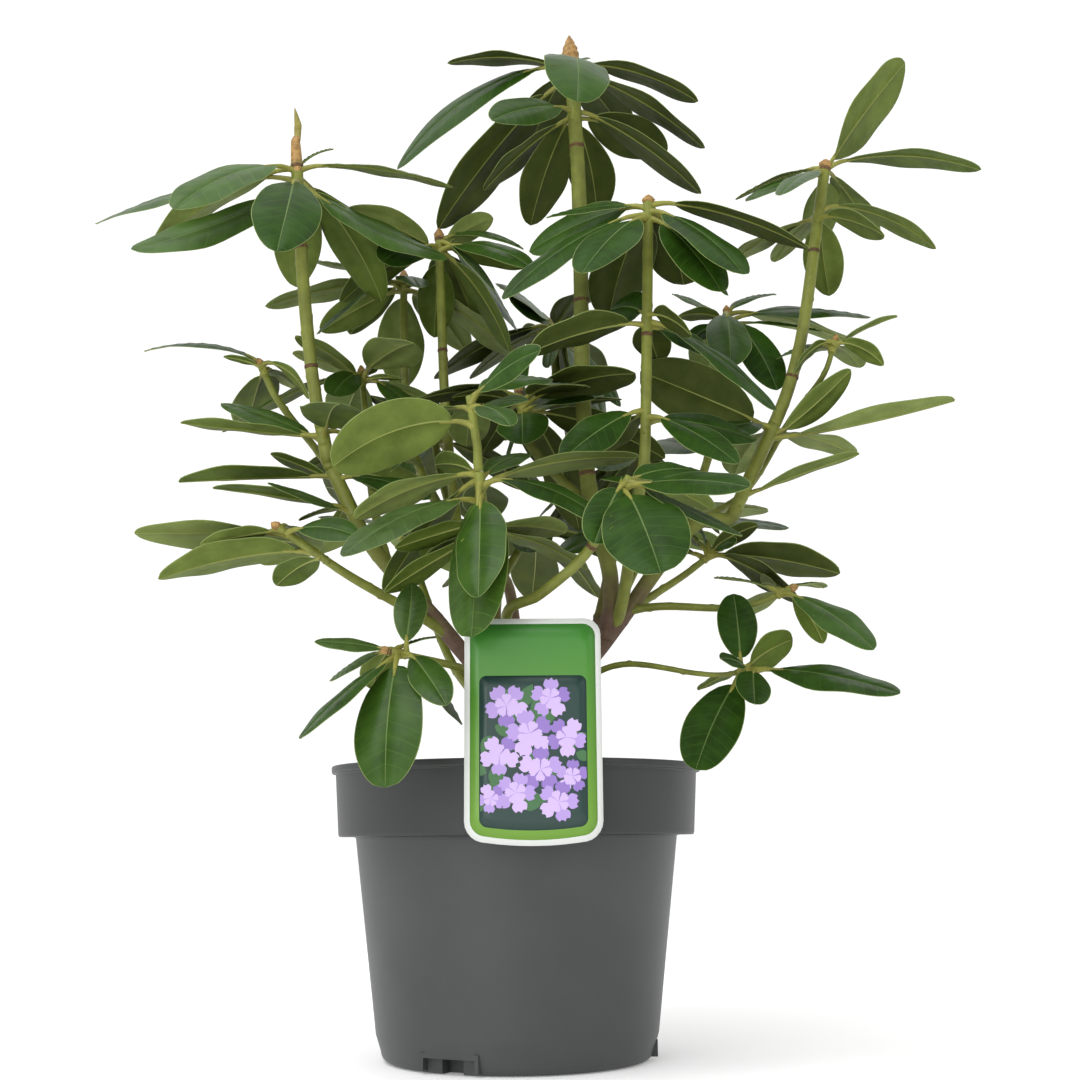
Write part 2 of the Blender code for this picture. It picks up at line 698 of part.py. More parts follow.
def apply_modifiers(target):
    """The object's evaluated mesh in place of its mesh and modifiers, with loose scraps dropped."""
    graph = bpy.context.evaluated_depsgraph_get()
    mesh = bpy.data.meshes.new_from_object(target.evaluated_get(graph))
    target.modifiers.clear()
    target.data = mesh
    keep_largest_piece(mesh)


def keep_largest_piece(mesh):
    shape = bmesh.new()
    shape.from_mesh(mesh)
    left = set(shape.verts)
    pieces = []
    while left:
        found = {left.pop()}
        front = list(found)
        while front:
            for edge in front.pop().link_edges:
                for vert in edge.verts:
                    if vert in left:
                        left.discard(vert)
                        found.add(vert)
                        front.append(vert)
        pieces.append(found)
    biggest = max(pieces, key=len)
    bmesh.ops.delete(shape, geom=[v for v in shape.verts if v not in biggest], context="VERTS")
    shape.to_mesh(mesh)
    shape.free()


def limb_mesh(name, line, radii, sides_setting):
    """A tapering limb: a bevelled curve through its points, made a mesh with its caps welded on."""
    curve = bpy.data.curves.new(name, "CURVE")
    curve.dimensions = "3D"
    curve.bevel_depth = MM
    curve.bevel_resolution = sides_setting
    curve.use_fill_caps = True
    spline = curve.splines.new("POLY")
    spline.points.add(len(line) - 1)
    for point, place, radius in zip(spline.points, line, radii):
        point.co = (*(place * MM), 1)
        point.radius = radius
    holder = bpy.data.objects.new(name + "_line", curve)
    bpy.context.scene.collection.objects.link(holder)
    graph = bpy.context.evaluated_depsgraph_get()
    mesh = bpy.data.meshes.new_from_object(holder.evaluated_get(graph))
    bpy.data.objects.remove(holder)
    bpy.data.curves.remove(curve)
    shape = bmesh.new()
    shape.from_mesh(mesh)
    bmesh.ops.remove_doubles(shape, verts=shape.verts, dist=0.00001)
    bmesh.ops.recalc_face_normals(shape, faces=shape.faces)
    shape.to_mesh(mesh)
    shape.free()
    mesh.shade_smooth()
    return mesh


def grown(line, radii):
    """A line and radii that stand out by the gap, past both ends too."""
    first = line[0] - unit(line[1] - line[0]) * GAP_MM
    last = line[-1] + unit(line[-1] - line[-2]) * GAP_MM
    return np.concatenate(([first], line[1:-1], [last])), radii + GAP_MM


# The object's pieces


def pot_profile():
    """The pot's section: up the inside from the middle of the floor, over the lip and down the outside."""
    collar_top, collar_foot = COLLAR_RADIUS
    body_top, body_foot = BODY_RADIUS
    step = COLLAR_BOTTOM + 0.0025
    rounds = [math.radians(angle) for angle in (0, 30, 60, 90)]
    corner = [
        (FOOT_RADIUS - FOOT_ROUND + FOOT_ROUND * math.cos(a), FOOT_ROUND - FOOT_ROUND * math.sin(a))
        for a in rounds
    ]
    return (
        (0, FLOOR),
        (FOOT_RADIUS - WALL - 0.001, FLOOR),
        (body_foot - WALL - 0.0016, FLOOR + 0.006),
        (body_top - WALL, step - 0.004),
        (collar_foot - WALL, step + 0.0015),
        (collar_top - WALL, POT_HEIGHT - 0.0030),
        (LIP_RADIUS - WALL - 0.0032, POT_HEIGHT),
        (LIP_RADIUS - 0.0006, POT_HEIGHT),
        (LIP_RADIUS, POT_HEIGHT - 0.0012),
        (LIP_RADIUS - 0.0002, POT_HEIGHT - LIP_DEPTH),
        (collar_top, POT_HEIGHT - LIP_DEPTH - 0.0008),
        (collar_foot, COLLAR_BOTTOM + 0.0012),
        (collar_foot - 0.0012, COLLAR_BOTTOM),
        (body_top, COLLAR_BOTTOM - 0.0006),
        (body_foot, FOOT_ROUND + 0.010),
        *corner,
        (0, 0),
    )


def turned_box(name, heading, low, high):
    """A box laid out along +X and then turned to a heading."""
    mesh = box_mesh(name, low, high)
    turn = math.radians(heading)
    points = np.array([v.co for v in mesh.vertices])
    spin = np.array(((math.cos(turn), math.sin(turn)), (-math.sin(turn), math.cos(turn))))
    points[:, :2] = points[:, :2] @ spin
    mesh.vertices.foreach_set("co", points.ravel())
    mesh.update()
    return mesh


def hood_box(name, heading, puff):
    """The raised roof that carries the floor over a drain notch."""
    inner = FOOT_RADIUS - HOOD_DEPTH - puff
    low = (inner, -NOTCH_WIDTH / 2 - WALL - puff, FLOOR - 0.001 - puff)
    high = (FOOT_RADIUS + 0.0005, NOTCH_WIDTH / 2 + WALL + puff, NOTCH_HEIGHT + HOOD_ROOF + puff)
    return turned_box(name, heading, low, high)


def build_pot(parts, cutters):
    """A turned pot whose floor rises in a hood over each drain notch."""
    pot = turned("pot", pot_profile(), parts, pot_plastic("pot_plastic"))
    hoods = bpy.data.collections.new("hoods")
    notches = bpy.data.collections.new("notches")
    cutters.children.link(hoods)
    cutters.children.link(notches)
    for i, heading in enumerate(NOTCH_HEADINGS):
        add_cutter(f"hood_{i}", hood_box(f"hood_{i}", heading, 0), hoods)
        recess = turned_box(
            f"recess_{i}", heading,
            (FOOT_RADIUS - 0.0045, -NOTCH_WIDTH / 2, -0.005),
            (FOOT_RADIUS + 0.02, NOTCH_WIDTH / 2, NOTCH_HEIGHT),
        )
        channel = turned_box(
            f"channel_{i}", heading,
            (FOOT_RADIUS - HOOD_DEPTH + WALL, -CHANNEL_WIDTH / 2, -0.005),
            (FOOT_RADIUS + 0.02, CHANNEL_WIDTH / 2, NOTCH_HEIGHT - 0.0004),
        )
        add_cutter(f"recess_{i}", recess, notches)
        add_cutter(f"channel_{i}", channel, notches)
    boolean(pot, "hoods", "UNION", hoods)
    boolean(pot, "notches", "DIFFERENCE", notches)
    return pot


def build_soil(parts, cutters):
    """The root ball and compost: they fill the pot's inside, a gap clear of its wall, floor and hoods."""
    body_top, body_foot = BODY_RADIUS
    collar_top, collar_foot = COLLAR_RADIUS
    step = COLLAR_BOTTOM + 0.0025
    inset = WALL + 2 * GAP
    share = (SOIL_TOP - step) / (POT_HEIGHT - step)
    profile = (
        (0, SOIL_TOP),
        (0.07, SOIL_TOP),
        (collar_foot + share * (collar_top - collar_foot) - inset - 0.0012, SOIL_TOP - 0.001),
        (collar_foot - inset - 0.0006, step + 0.0035),
        (body_top - inset - 0.0004, step - 0.002),
        (body_foot - inset - 0.0020, FLOOR + 0.007),
        (FOOT_RADIUS - inset - 0.0022, FLOOR + GAP),
        (0, FLOOR + GAP),
    )
    soil = turned("potting_soil", profile, parts, potting_soil("potting_soil"), SOIL_SEGMENTS)
    sleeves = bpy.data.collections.new("hood_sleeves")
    cutters.children.link(sleeves)
    for i, heading in enumerate(NOTCH_HEADINGS):
        add_cutter(f"sleeve_{i}", hood_box(f"sleeve_{i}", heading, 2 * GAP), sleeves)
    boolean(soil, "hood_sleeves", "DIFFERENCE", sleeves)
    return soil


def label_outline():
    """The card's outline in its own plane: rounded corners and a gently bowed foot."""
    half = LABEL_WIDTH / 2
    low = LABEL_BOTTOM + LABEL_BOW
    points = []
    corners = ((1, LABEL_TOP, 0), (-1, LABEL_TOP, 90), (-1, low, 180), (1, low, 270))
    for side, level, first in corners:
        inward = -1 if level == LABEL_TOP else 1
        for angle in (0, 30, 60, 90):
            a = math.radians(first + angle)
            points.append((
                side * (half - LABEL_CORNER) + LABEL_CORNER * math.cos(a),
                level + inward * LABEL_CORNER + LABEL_CORNER * math.sin(a),
            ))
        if first == 180:
            points += [(x, low - LABEL_BOW * (1 - (x / half) ** 2)) for x in (-0.018, -0.006, 0.006, 0.018)]
    return points


def build_label(parts, cutters):
    """The card stands in front of the collar, and a tongue at its back hooks over the pot's lip."""
    front = -LIP_RADIUS - GAP - LABEL_THICK
    outline = label_outline()
    count = len(outline)
    points = []
    for y in (front, front + LABEL_THICK):
        for x, z in outline:
            points.append((x + LABEL_X, y + (z - POT_HEIGHT) * math.tan(math.radians(LABEL_LEAN)), z))
    faces = [list(range(count))[::-1], list(range(count, 2 * count))]
    faces += [[i, (i + 1) % count, count + (i + 1) % count, count + i] for i in range(count)]
    card = mesh_of("plant_label", np.array(points), faces)
    label = add_object("plant_label", card, parts, label_card("label_card"))
    fix_normals(label.data)
    tongue = bpy.data.collections.new("tongue")
    cutters.children.link(tongue)
    roof = POT_HEIGHT + GAP
    half = TONGUE_WIDTH / 2
    back = -LIP_RADIUS + TONGUE_REACH
    over = box_mesh(
        "tongue_over", (LABEL_X - half, front + 0.0004, roof),
        (LABEL_X + half, back, roof + LABEL_THICK * 1.4),
    )
    inner = box_mesh(
        "tongue_drop", (LABEL_X - half, back - LABEL_THICK * 1.2, POT_HEIGHT - TONGUE_DROP),
        (LABEL_X + half, back, roof + LABEL_THICK),
    )
    add_cutter("tongue_over", over, tongue)
    add_cutter("tongue_drop", inner, tongue)
    boolean(label, "tongue", "UNION", tongue)
    return label


def fix_normals(mesh):
    shape = bmesh.new()
    shape.from_mesh(mesh)
    bmesh.ops.recalc_face_normals(shape, faces=shape.faces)
    shape.to_mesh(mesh)
    shape.free()


def build_boughs(lines, radii, parts, cutters):
    """The trunk and the boughs. Each is cut clear of those before it, and what the cut leaves loose
    is dropped."""
    earlier = []
    for name, line in lines.items():
        node = "trunk" if name == "trunk" else name + "_bough"
        thick = name == "trunk" or radii[name][0] > 4.2
        bough = add_object(node, limb_mesh(node, line, radii[name], 2 if thick else 1), parts, bark(node))
        mine = tree_of(bough)
        near = [sleeve for sleeve in earlier if tree_of(sleeve).overlap(mine)]
        for sleeve in near:
            boolean(bough, "clear_" + sleeve.name, "DIFFERENCE", sleeve, "MANIFOLD")
        if near:
            bpy.context.view_layer.update()
            apply_modifiers(bough)
        earlier.append(
            add_cutter(node + "_sleeve", limb_mesh(node + "_sleeve", *grown(line, radii[name]), 2), cutters)
        )
    for sleeve in earlier:
        bpy.data.objects.remove(sleeve)


def tree_of(found):
    mesh = found.data
    return BVHTree.FromPolygons([v.co for v in mesh.vertices], [f.vertices[:] for f in mesh.polygons])


def bud_mesh(name, top, along, radius, length):
    """A pointed bud: rings that swell a little and close in a point, standing on a stem's top."""
    shares = np.array((0.0, 0.25, 0.6, 1.0))
    rings = top + (shares[:, None] * (length + 2) - 2) * along
    points, faces = tube(rings, radius * np.array((0.9, 1.15, 0.95, 0.12)))
    return mesh_of(name, points * MM, faces)


def build_whorl(name, shoot, leaves, parts):
    """One mass: a short stem with its leaves and its bud joined to it."""
    foot, top, along = whorl_stem(shoot)
    radius = shoot.radii[1]
    node = name + "_leaves"
    stem = limb_mesh(node, np.array((foot, top)), (radius, radius), 1)
    mass = add_object(node, stem, parts, leaf_green(node))
    loose = bpy.data.collections.new(node + "_loose")
    bpy.context.scene.collection.children.link(loose)
    for i, leaf in enumerate(leaves):
        points, faces = leaf_loft(*leaf)
        add_object(f"{node}_{i}", mesh_of(f"{node}_{i}", points * MM, faces), loose)
    if shoot.bud:
        add_object(node + "_bud", bud_mesh(node + "_bud", top, along, radius, shoot.bud), loose)
    for piece in loose.objects:
        fix_normals(piece.data)
    boolean(mass, "join", "UNION", loose, "MANIFOLD")
    bpy.context.view_layer.update()
    apply_modifiers(mass)
    for piece in list(loose.objects):
        bpy.data.objects.remove(piece)
    bpy.data.collections.remove(loose)
    return mass


def clear_scene():
    for found in list(bpy.data.objects):
        bpy.data.objects.remove(found)


def main():
    clear_scene()
    parts = bpy.data.collections.new("potted_rhododendron")
    cutters = bpy.data.collections.new("cutters")
    cutters.hide_render = True
    bpy.context.scene.collection.children.link(parts)
    bpy.context.scene.collection.children.link(cutters)
    lines, radii = plan_boughs()
    build_boughs(lines, radii, parts, cutters)
    for name, leaves in place_leaves(lines, radii).items():
        build_whorl(name, SHOOTS[name], leaves, parts)
    build_pot(parts, cutters)
    build_soil(parts, cutters)
    build_label(parts, cutters)


if __name__ == "__main__":
    main()
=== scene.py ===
import json
import math
import random
from typing import NamedTuple

import bpy
import numpy as np
from mathutils import Matrix
from mathutils.bvhtree import BVHTree

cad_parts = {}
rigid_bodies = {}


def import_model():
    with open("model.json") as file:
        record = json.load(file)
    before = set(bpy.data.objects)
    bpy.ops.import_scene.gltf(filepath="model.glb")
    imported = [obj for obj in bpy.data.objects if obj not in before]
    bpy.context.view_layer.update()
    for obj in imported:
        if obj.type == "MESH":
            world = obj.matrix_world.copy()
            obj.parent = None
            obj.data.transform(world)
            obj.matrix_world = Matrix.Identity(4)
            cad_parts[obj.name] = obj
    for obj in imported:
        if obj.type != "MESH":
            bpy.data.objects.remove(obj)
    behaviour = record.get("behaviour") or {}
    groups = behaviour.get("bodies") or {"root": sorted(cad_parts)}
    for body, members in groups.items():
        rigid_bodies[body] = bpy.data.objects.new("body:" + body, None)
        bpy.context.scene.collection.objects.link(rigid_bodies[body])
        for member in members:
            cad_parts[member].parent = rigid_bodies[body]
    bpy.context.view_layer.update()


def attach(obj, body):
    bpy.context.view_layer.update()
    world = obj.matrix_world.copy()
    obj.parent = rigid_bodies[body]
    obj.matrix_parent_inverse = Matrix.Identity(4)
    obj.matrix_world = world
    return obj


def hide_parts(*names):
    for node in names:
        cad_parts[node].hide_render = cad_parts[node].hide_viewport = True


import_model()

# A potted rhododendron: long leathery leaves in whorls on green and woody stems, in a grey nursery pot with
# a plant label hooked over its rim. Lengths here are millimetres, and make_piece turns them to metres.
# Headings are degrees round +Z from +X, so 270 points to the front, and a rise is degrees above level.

MM = 0.001
GAP_MM = 0.3

# Pot
POT_HEIGHT = 178.0
LIP_RADIUS = 116.5
LIP_DEPTH = 4.5
COLLAR_RADIUS = (113.8, 111.8)
COLLAR_BOTTOM = 134.5
BODY_RADIUS = (100.8, 87.2)
FOOT_RADIUS = 84.0
FOOT_ROUND = 6.0
WALL = 2.4
FLOOR = 3.0
NOTCH_HEADINGS = (243.0, 3.0, 123.0)
NOTCH_HEIGHT = 9.0
NOTCH_WIDTH = 34.0
CHANNEL_WIDTH = 14.0
HOOD_DEPTH = 16.0
HOOD_ROOF = 3.0

# Potting soil
SOIL_TOP = 158.0

# Plant label
LABEL_WIDTH = 78.0
LABEL_BOTTOM = 128.5
LABEL_TOP = 257.0
LABEL_X = 11.5
LABEL_THICK = 1.0
LABEL_CORNER = 9.5
LABEL_LEAN = 2.0
TONGUE_WIDTH = 20.0
TONGUE_DROP = 14.0

# Trunk
TRUNK_LINE = ((3, 2, 158.3), (3, 2, 166), (3, 1, 180), (4, 0, 206))
TRUNK_RADII = (15.0, 11.0, 9.5, 8.5)

# Leaves: shares of a leaf's whole length, and sizes in millimetres
PETIOLE = 0.15
LEAF_RIDGE = 0.6
LEAF_DROP = 0.11
PETIOLE_THICK = 2.6
ARCH = 26.0
KICK = 32.0
BLADE_SHARES = (0.2, 0.55, 0.86)
BROAD = 0.48
BLUNT = 0.55
POINTED = 0.7
DEALT_RISE = (-46, 4)
DEALT_REACH = (80, 108)
DEALT_ROLL = 26
CROWN_FLOOR = 328
CLEARANCE = 0.5
FOOT_SPREAD = 0.7
GOLDEN = 0.618
STRAIGHT_END = 5.0
NUDGES = tuple(
    (turn, lift)
    for lift, turn in sorted(
        ((lift, turn) for lift in range(-20, 21, 4) for turn in range(-20, 21, 4)),
        key=lambda pair: (abs(pair[0]) + abs(pair[1]), pair),
    )
)


class Leaf(NamedTuple):
    """Where a leaf's tip lies from its whorl's node, and its form. Reach is in millimetres."""

    heading: float
    rise: float
    reach: float
    roll: float = 0.0  # degrees that its right-hand edge, seen from its foot, is turned down
    width: float = 0.42  # share of its blade's length
    arch: float = 1.0  # how strongly it bends over, or sags where it is below 0
    cup: float = 1.0  # how far its edges drop, or rise where it is below 0


class Shoot(NamedTuple):
    """A bough and the whorl of leaves at its tip. Points and radii are in millimetres."""

    parent: str
    share: float  # where along the parent it leaves, or 1 to grow on from the parent's tip
    via: tuple  # points that the bough bends through
    node: tuple  # the whorl's middle
    lean: tuple  # heading of the tip, and its tilt from upright
    radii: tuple  # at the bough's foot and at its tip
    bud: float  # length of the bud on the tip, or 0
    extra: int  # leaves dealt by rule into the whorl's widest gaps
    leaves: tuple  # one Leaf's values a row
    older: dict = {}  # rows of last years' leaves, by how far down the whorl's stem they stand


SHOOTS = {
    "left_fork": Shoot(
        "trunk", 0.80, ((-45, 0, 265),), (-117, -6, 366), (175, 26), (5.6, 4.6), 0, 0,
        (
            (172, 22, 48, 24, 0.42, 0.3), (180, -1, 103, 2, 0.42, 0.1, -2), (333, -17, 75, 26),
            (29, -5, 70, -35),
        ),
        {
            24: (
                (188, 8, 90, 2, 0.42, 0.2, -1), (214, 9, 62, -32, 0.42, 0.2), (108, 30, 58, 60, 0.50),
                (162, -7, 38, -4, 0.42, 1.4), (124, -19, 26, 6),
            ),
        },
    ),
    "left_knee": Shoot(
        "left_fork", 1.0, (), (-125, -10, 392), (175, 12), (4.5, 4.4), 0, 0,
        (
            (169, 21, 77, -32, 0.42, 0.4), (191, 8, 92, 0, 0.38, -0.1, -1), (284, -1, 92, -8, 0.50),
            (40, -6, 80, 10),
        ),
    ),
    "left_tip": Shoot(
        "left_knee", 1.0, (), (-144, -20, 570), (180, 4), (4.3, 4.0), 40, 0,
        (
            (271, -46, 118, -12, 0.44, 1.2), (223, -28, 104, -32, 0.42, 1.4),
            (14, -26, 114, 45, 0.40, -0.5), (180, -27, 107, 4, 0.40, 1, -1),
            (203, -32, 126, -45, 0.36, -0.8), (174, -15, 142, -35, 0.31), (0, -5, 105, 12, 0.34),
            (46, -40, 105, -5), (98, -48, 80, 0, 0.46), (12, 42, 32, 30, 0.14, 2), (65, -20, 92),
        ),
    ),
    "left_twig": Shoot(
        "left_fork", 0.84, ((-128, 38, 384),), (-171, 20, 447), (170, 25), (3.0, 2.4), 4, 0,
        (
            (180, 10, 83, -22, 0.30, 2.0), (190, 18, 28, 15), (108, -15, 76, -22, 0.55),
            (346, -34, 41, -30, 0.34, 2.4), (74, 2, 60, 10),
        ),
    ),
    "left_low": Shoot(
        "left_fork", 0.44, (), (-144, -43, 323), (200, 58), (3.6, 2.6), 4, 0,
        ((180, 0, 94, 20, 0.42, 0.2), (200, -12, 53, 36, 0.42, 0.4), (330, -9, 58, 52), (85, 0, 80)),
        {28: ((189, -5, 101, 22, 0.42, 1, -1.5), (127, -10, 60, 22), (136, 13, 75, 28))},
    ),
    "left_back": Shoot(
        "left_fork", 0.76, (), (-108, 60, 452), (120, 14), (3.0, 2.2), 5, 3,
        (
            (171, 23, 56, 16), (37, 44, 23, -50, 0.60), (327, -9, 38, -14, 0.30),
            (251, -28, 52, -30, 0.50), (338, -32, 78, 26, 0.42, 1.2),
        ),
    ),
    "left_rear": Shoot(
        "inner_left", 0.30, ((-74, 84, 410),), (-82, 92, 532), (100, 5), (3.6, 2.6), 6, 4,
        (
            (163, -23, 72, 40), (137, -21, 65, 8), (60, -18, 90), (285, -20, 62),
            (188, -11, 102, 4, 0.42, 0.8),
        ),
    ),
    "front_low_left": Shoot(
        "trunk", 0.42, ((-10, -55, 222),), (-66, -112, 238), (190, 78), (3.4, 2.0), 5, 0,
        (
            (75, 62, 50, 0, 0.46), (192, 7, 48, -34, 0.42, 0.5), (228, -36, 88, 4, 0.34, 0.5),
            (160, -18, 46, -36), (268, -58, 92, 14, 0.50), (306, -33, 62, 30), (45, 22, 32),
            (60, -28, 78, 60), (110, -15, 60),
        ),
    ),
    "inner_left": Shoot(
        "left_fork", 0.22, ((-44, 34, 380),), (-53, 45, 543), (180, 2), (4.0, 3.0), 6, 0,
        (
            (26, 35, 51, -60), (6, 1, 60, 38, 0.25, 2.2), (326, -22, 84, 30, 0.42, 1.4),
            (325, -41, 64, 2, 0.30), (232, -25, 64, -50, 0.50), (117, -38, 76, 18, 0.45),
            (68, -34, 80, 16), (24, -52, 88), (47, -28, 90, 60), (150, -12, 90), (85, -5, 86),
        ),
    ),
    "centre_tip": Shoot(
        "right_fork", 0.37, ((62, 2, 300), (50, 6, 350), (46, 8, 420)), (41, 5, 654), (170, 3), (5.6, 4.9),
        22, 0,
        (
            (271, -37, 96, -15, 0.50, 2.6), (173, -27, 138, -45, 0.36, 1.8), (176, 8, 88, -8, 0.36, 1.4),
            (3, -12, 90, 4, 0.42, 1.4), (10, -27, 106, 6, 0.40), (155, -42, 142, 4),
            (72, 38, 50, 0, 0.34), (62, -8, 92), (110, -14, 96),
        ),
        {
            30: (
                (225, -21, 84, -50, 0.42), (150, -28, 84, -10), (115, -32, 92, -6, 0.46),
                (77, -28, 90, 10, 0.46), (37, -5, 84, -32, 0.46), (15, -28, 104, 4, 0.40),
            ),
        },
    ),
    "right_fork": Shoot(
        "trunk", 0.88, ((52, -2, 250), (114, 9, 332)), (172, 20, 400), (10, 26), (7.0, 4.6), 0, 0,
        (
            (0, 10, 128, 0, 0.38, -0.2, -2), (183, 26, 97, 68, 0.50, 0.5), (350, 45, 69, -34, 0.42, -0.6),
            (227, -13, 80, -26), (95, -5, 90), (38, -2, 85),
        ),
        {52: ((353, 20, 85, -4, 0.36, 0.2, -1),)},
    ),
    "right_tip": Shoot(
        "right_fork", 1.0, (), (217, 25, 588), (12, 10), (4.4, 3.8), 5, 0,
        (
            (13, 54, 112, -40, 0.46, 0.4), (0, 1, 110, 6, 0.40, 1.3), (188, -22, 62, -34, 0.36),
            (168, -20, 64, -10, 0.36), (231, -30, 72, -8, 0.40), (85, -16, 84, -20), (55, -18, 80, 20),
        ),
        {
            34: (
                (303, -28, 70, -38), (0, -16, 84, 0, 0.38, 1.8), (107, -5, 72, -20), (130, -10, 88, -14),
                (75, -25, 78),
            ),
        },
    ),
    "right_twig": Shoot(
        "right_fork", 0.85, ((158, 42, 366), (190, 46, 416)), (217, 20, 460), (10, 18), (2.6, 1.8), 4, 0,
        (
            (0, 26, 50, 0, 0.34, 1, -1), (342, -26, 37, -42, 0.46, 2), (166, -1, 43, -30, 0.38, 1.8),
            (202, -35, 40, 30, 0.42, 1.8), (60, 0, 56), (110, 15, 50),
        ),
    ),
    "right_back": Shoot(
        "right_fork", 0.75, (), (151, 70, 496), (60, 4), (3.2, 2.3), 5, 2,
        (
            (165, 32, 46, -28, 0.36), (27, 31, 52, 20, 0.36, 1.6), (3, 2, 105, 30), (20, 0, 108, 10),
            (210, -4, 42, 24), (228, -30, 50, -30), (311, -50, 76, 30, 0.46),
        ),
    ),
    "right_mid": Shoot(
        "right_fork", 0.46, (), (128, 20, 316), (10, 52), (3.0, 2.2), 4, 0,
        (
            (353, -9, 87, -28, 0.44, 1, -0.5), (330, -29, 72, -38), (0, 44, 40, -50), (296, 6, 34, 52),
            (121, 34, 60, 46), (145, 8, 64, -28), (101, 43, 56, 60, 0.50),
        ),
    ),
    "right_low": Shoot(
        "right_fork", 0.48, (), (170, -30, 284), (345, 68), (2.8, 2.0), 4, 0,
        (
            (313, -33, 78, 22), (30, -46, 43, -46), (95, 25, 40, 60), (62, 10, 50), (110, 0, 60),
            (150, 16, 50),
        ),
    ),
    "front_low_right": Shoot(
        "trunk", 0.62, ((58, -22, 238),), (143, -50, 232), (350, 84), (2.4, 1.5), 4, 0,
        (
            (100, 64, 58, 0, 0.50), (234, 9, 34, -54), (20, 34, 38, -60, 0.70), (267, -28, 50, -16, 0.50),
            (327, -11, 98, 24, 0.46, 0.6), (227, -48, 82, -28, 0.50, 0.4), (75, 5, 48), (130, -10, 44),
        ),
    ),
    "inner_right": Shoot(
        "right_fork", 0.42, ((76, -38, 330),), (88, -50, 530), (20, 2), (4.2, 3.4), 4, 0,
        (
            (233, -40, 98, -16, 0.46), (171, 1, 67, -36, 0.32), (198, -35, 120, -25, 0.40),
            (0, -14, 107, 4), (320, -40, 92, 16, 0.50), (330, -52, 80, 38, 0.52),
            (150, -6, 90, -65, 0.46), (107, -21, 105, -8, 0.50), (71, -11, 95, 2, 0.50),
            (35, -33, 80, 60),
        ),
        {
            74: (
                (188, -17, 79, 20, 0.50, 1, -1.5), (301, -25, 52, -54), (2, -36, 100, 34, 0.38),
                (35, -12, 55, 66), (113, 24, 60, -64, 0.50), (80, -5, 70),
            ),
            138: (
                (202, -29, 66, -58, 0.46), (323, -31, 76, 28, 0.46), (20, -6, 78, 52), (117, -10, 60, 2),
            ),
        },
    ),
    "front_right": Shoot(
        "trunk", 0.55, ((8, -42, 232), (-4, -80, 264), (16, -96, 274), (43, -106, 296)), (66, -118, 334),
        (350, 32), (3.4, 3.0), 0, 0,
        (
            (282, -42, 94, 20, 0.60), (240, -38, 56, -34, 0.50), (320, -9, 86, 34, 0.42, 0.6),
            (326, -27, 84, 10, 0.36, 0.2), (35, 16, 60, 40), (90, 15, 70), (45, -2, 80),
        ),
    ),
    "front_fork": Shoot(
        "trunk", 0.90, ((-2, -50, 280),), (-19, -100, 340), (250, 16), (3.8, 3.2), 0, 0,
        (
            (271, -57, 90, 28, 0.46, 0.8), (265, -60, 104, 32, 0.50, 0.4), (334, -22, 90, 20, 0.42, 1.6),
            (129, 24, 50, 60), (53, 30, 55, 20), (19, 17, 105, -8), (138, -34, 100, -16), (90, -5, 80),
            (160, -10, 84, 10),
        ),
        {
            13: ((218, -23, 104, -18, 0.42, 1.2),),
            26: (
                (180, -33, 71, 20, 0.42, 0.3), (195, -15, 56, 34, 0.42, 0.3), (45, 5, 70, -24, 0.42, 0.5),
                (42, -3, 85, 4), (149, 10, 60, 26), (171, -33, 63, 10),
            ),
        },
    ),
    "front_tip": Shoot(
        "front_fork", 1.0, (), (-24, -103, 387), (190, 8), (3.0, 2.6), 0, 0,
        (
            (328, -4, 40, 42), (311, 17, 66, 70), (296, -25, 60, 12), (45, 24, 75, 25), (95, -5, 74),
            (140, 0, 66),
        ),
        {15: ((187, -16, 87, 58, 0.52, 1.4),)},
    ),
    "rear_centre": Shoot(
        "centre_tip", 0.33, ((40, 70, 410),), (28, 110, 500), (95, 10), (4.0, 3.0), 7, 5,
        (
            (113, 11, 60, 54), (244, 3, 70, -60), (262, -46, 50, 38), (311, -80, 88, -60, 0.50),
            (326, -62, 90, 4), (11, -43, 73, 54), (229, 5, 90, -46), (33, -66, 100),
        ),
    ),
    "rear_left": Shoot(
        "left_fork", 0.12, ((-40, 90, 340),), (-62, 140, 428), (120, 16), (4.0, 2.8), 7, 8, (),
    ),
    "rear_right": Shoot(
        "right_fork", 0.24, ((70, 90, 340),), (92, 138, 420), (60, 16), (4.0, 2.8), 7, 8, (),
    ),
    "rear_low": Shoot(
        "trunk", 0.60, ((-14, 60, 285), (2, 104, 338)), (14, 146, 358), (90, 40), (3.6, 2.6), 6, 7,
        ((57, -24, 96, 22), (21, -12, 90, -26)),
    ),
    "rear_low_left": Shoot(
        "trunk", 0.50, ((-45, 60, 252),), (-84, 112, 348), (135, 35), (3.6, 2.4), 6, 7, (),
    ),
    "rear_low_right": Shoot(
        "trunk", 0.46, ((50, 60, 252),), (98, 108, 348), (45, 35), (3.6, 2.4), 6, 7, (),
    ),
    "core": Shoot(
        "centre_tip", 0.25, ((26, 20, 374),), (4, 20, 420), (150, 8), (3.8, 2.8), 6, 8,
        (
            (69, 19, 80, 34), (116, -16, 70, -12), (251, -58, 60, 60, 0.50), (76, -20, 80, 16),
            (91, 50, 70, -58), (60, -38, 90, 18), (100, -5, 70, -2),
        ),
    ),
}
WHORL_PITCH = 1.6
BOUGH_STEP = 38.0
RING_LEAN = (0.31, 0.95, 0.05)


# Directions and lines


def direction(heading, rise):
    """The unit vector of a heading and a rise in degrees."""
    turn = math.radians(heading)
    lift = math.radians(rise)
    return np.array((math.cos(turn) * math.cos(lift), math.sin(turn) * math.cos(lift), math.sin(lift)))


def unit(vector):
    """A vector brought to length one."""
    return vector / np.linalg.norm(vector)


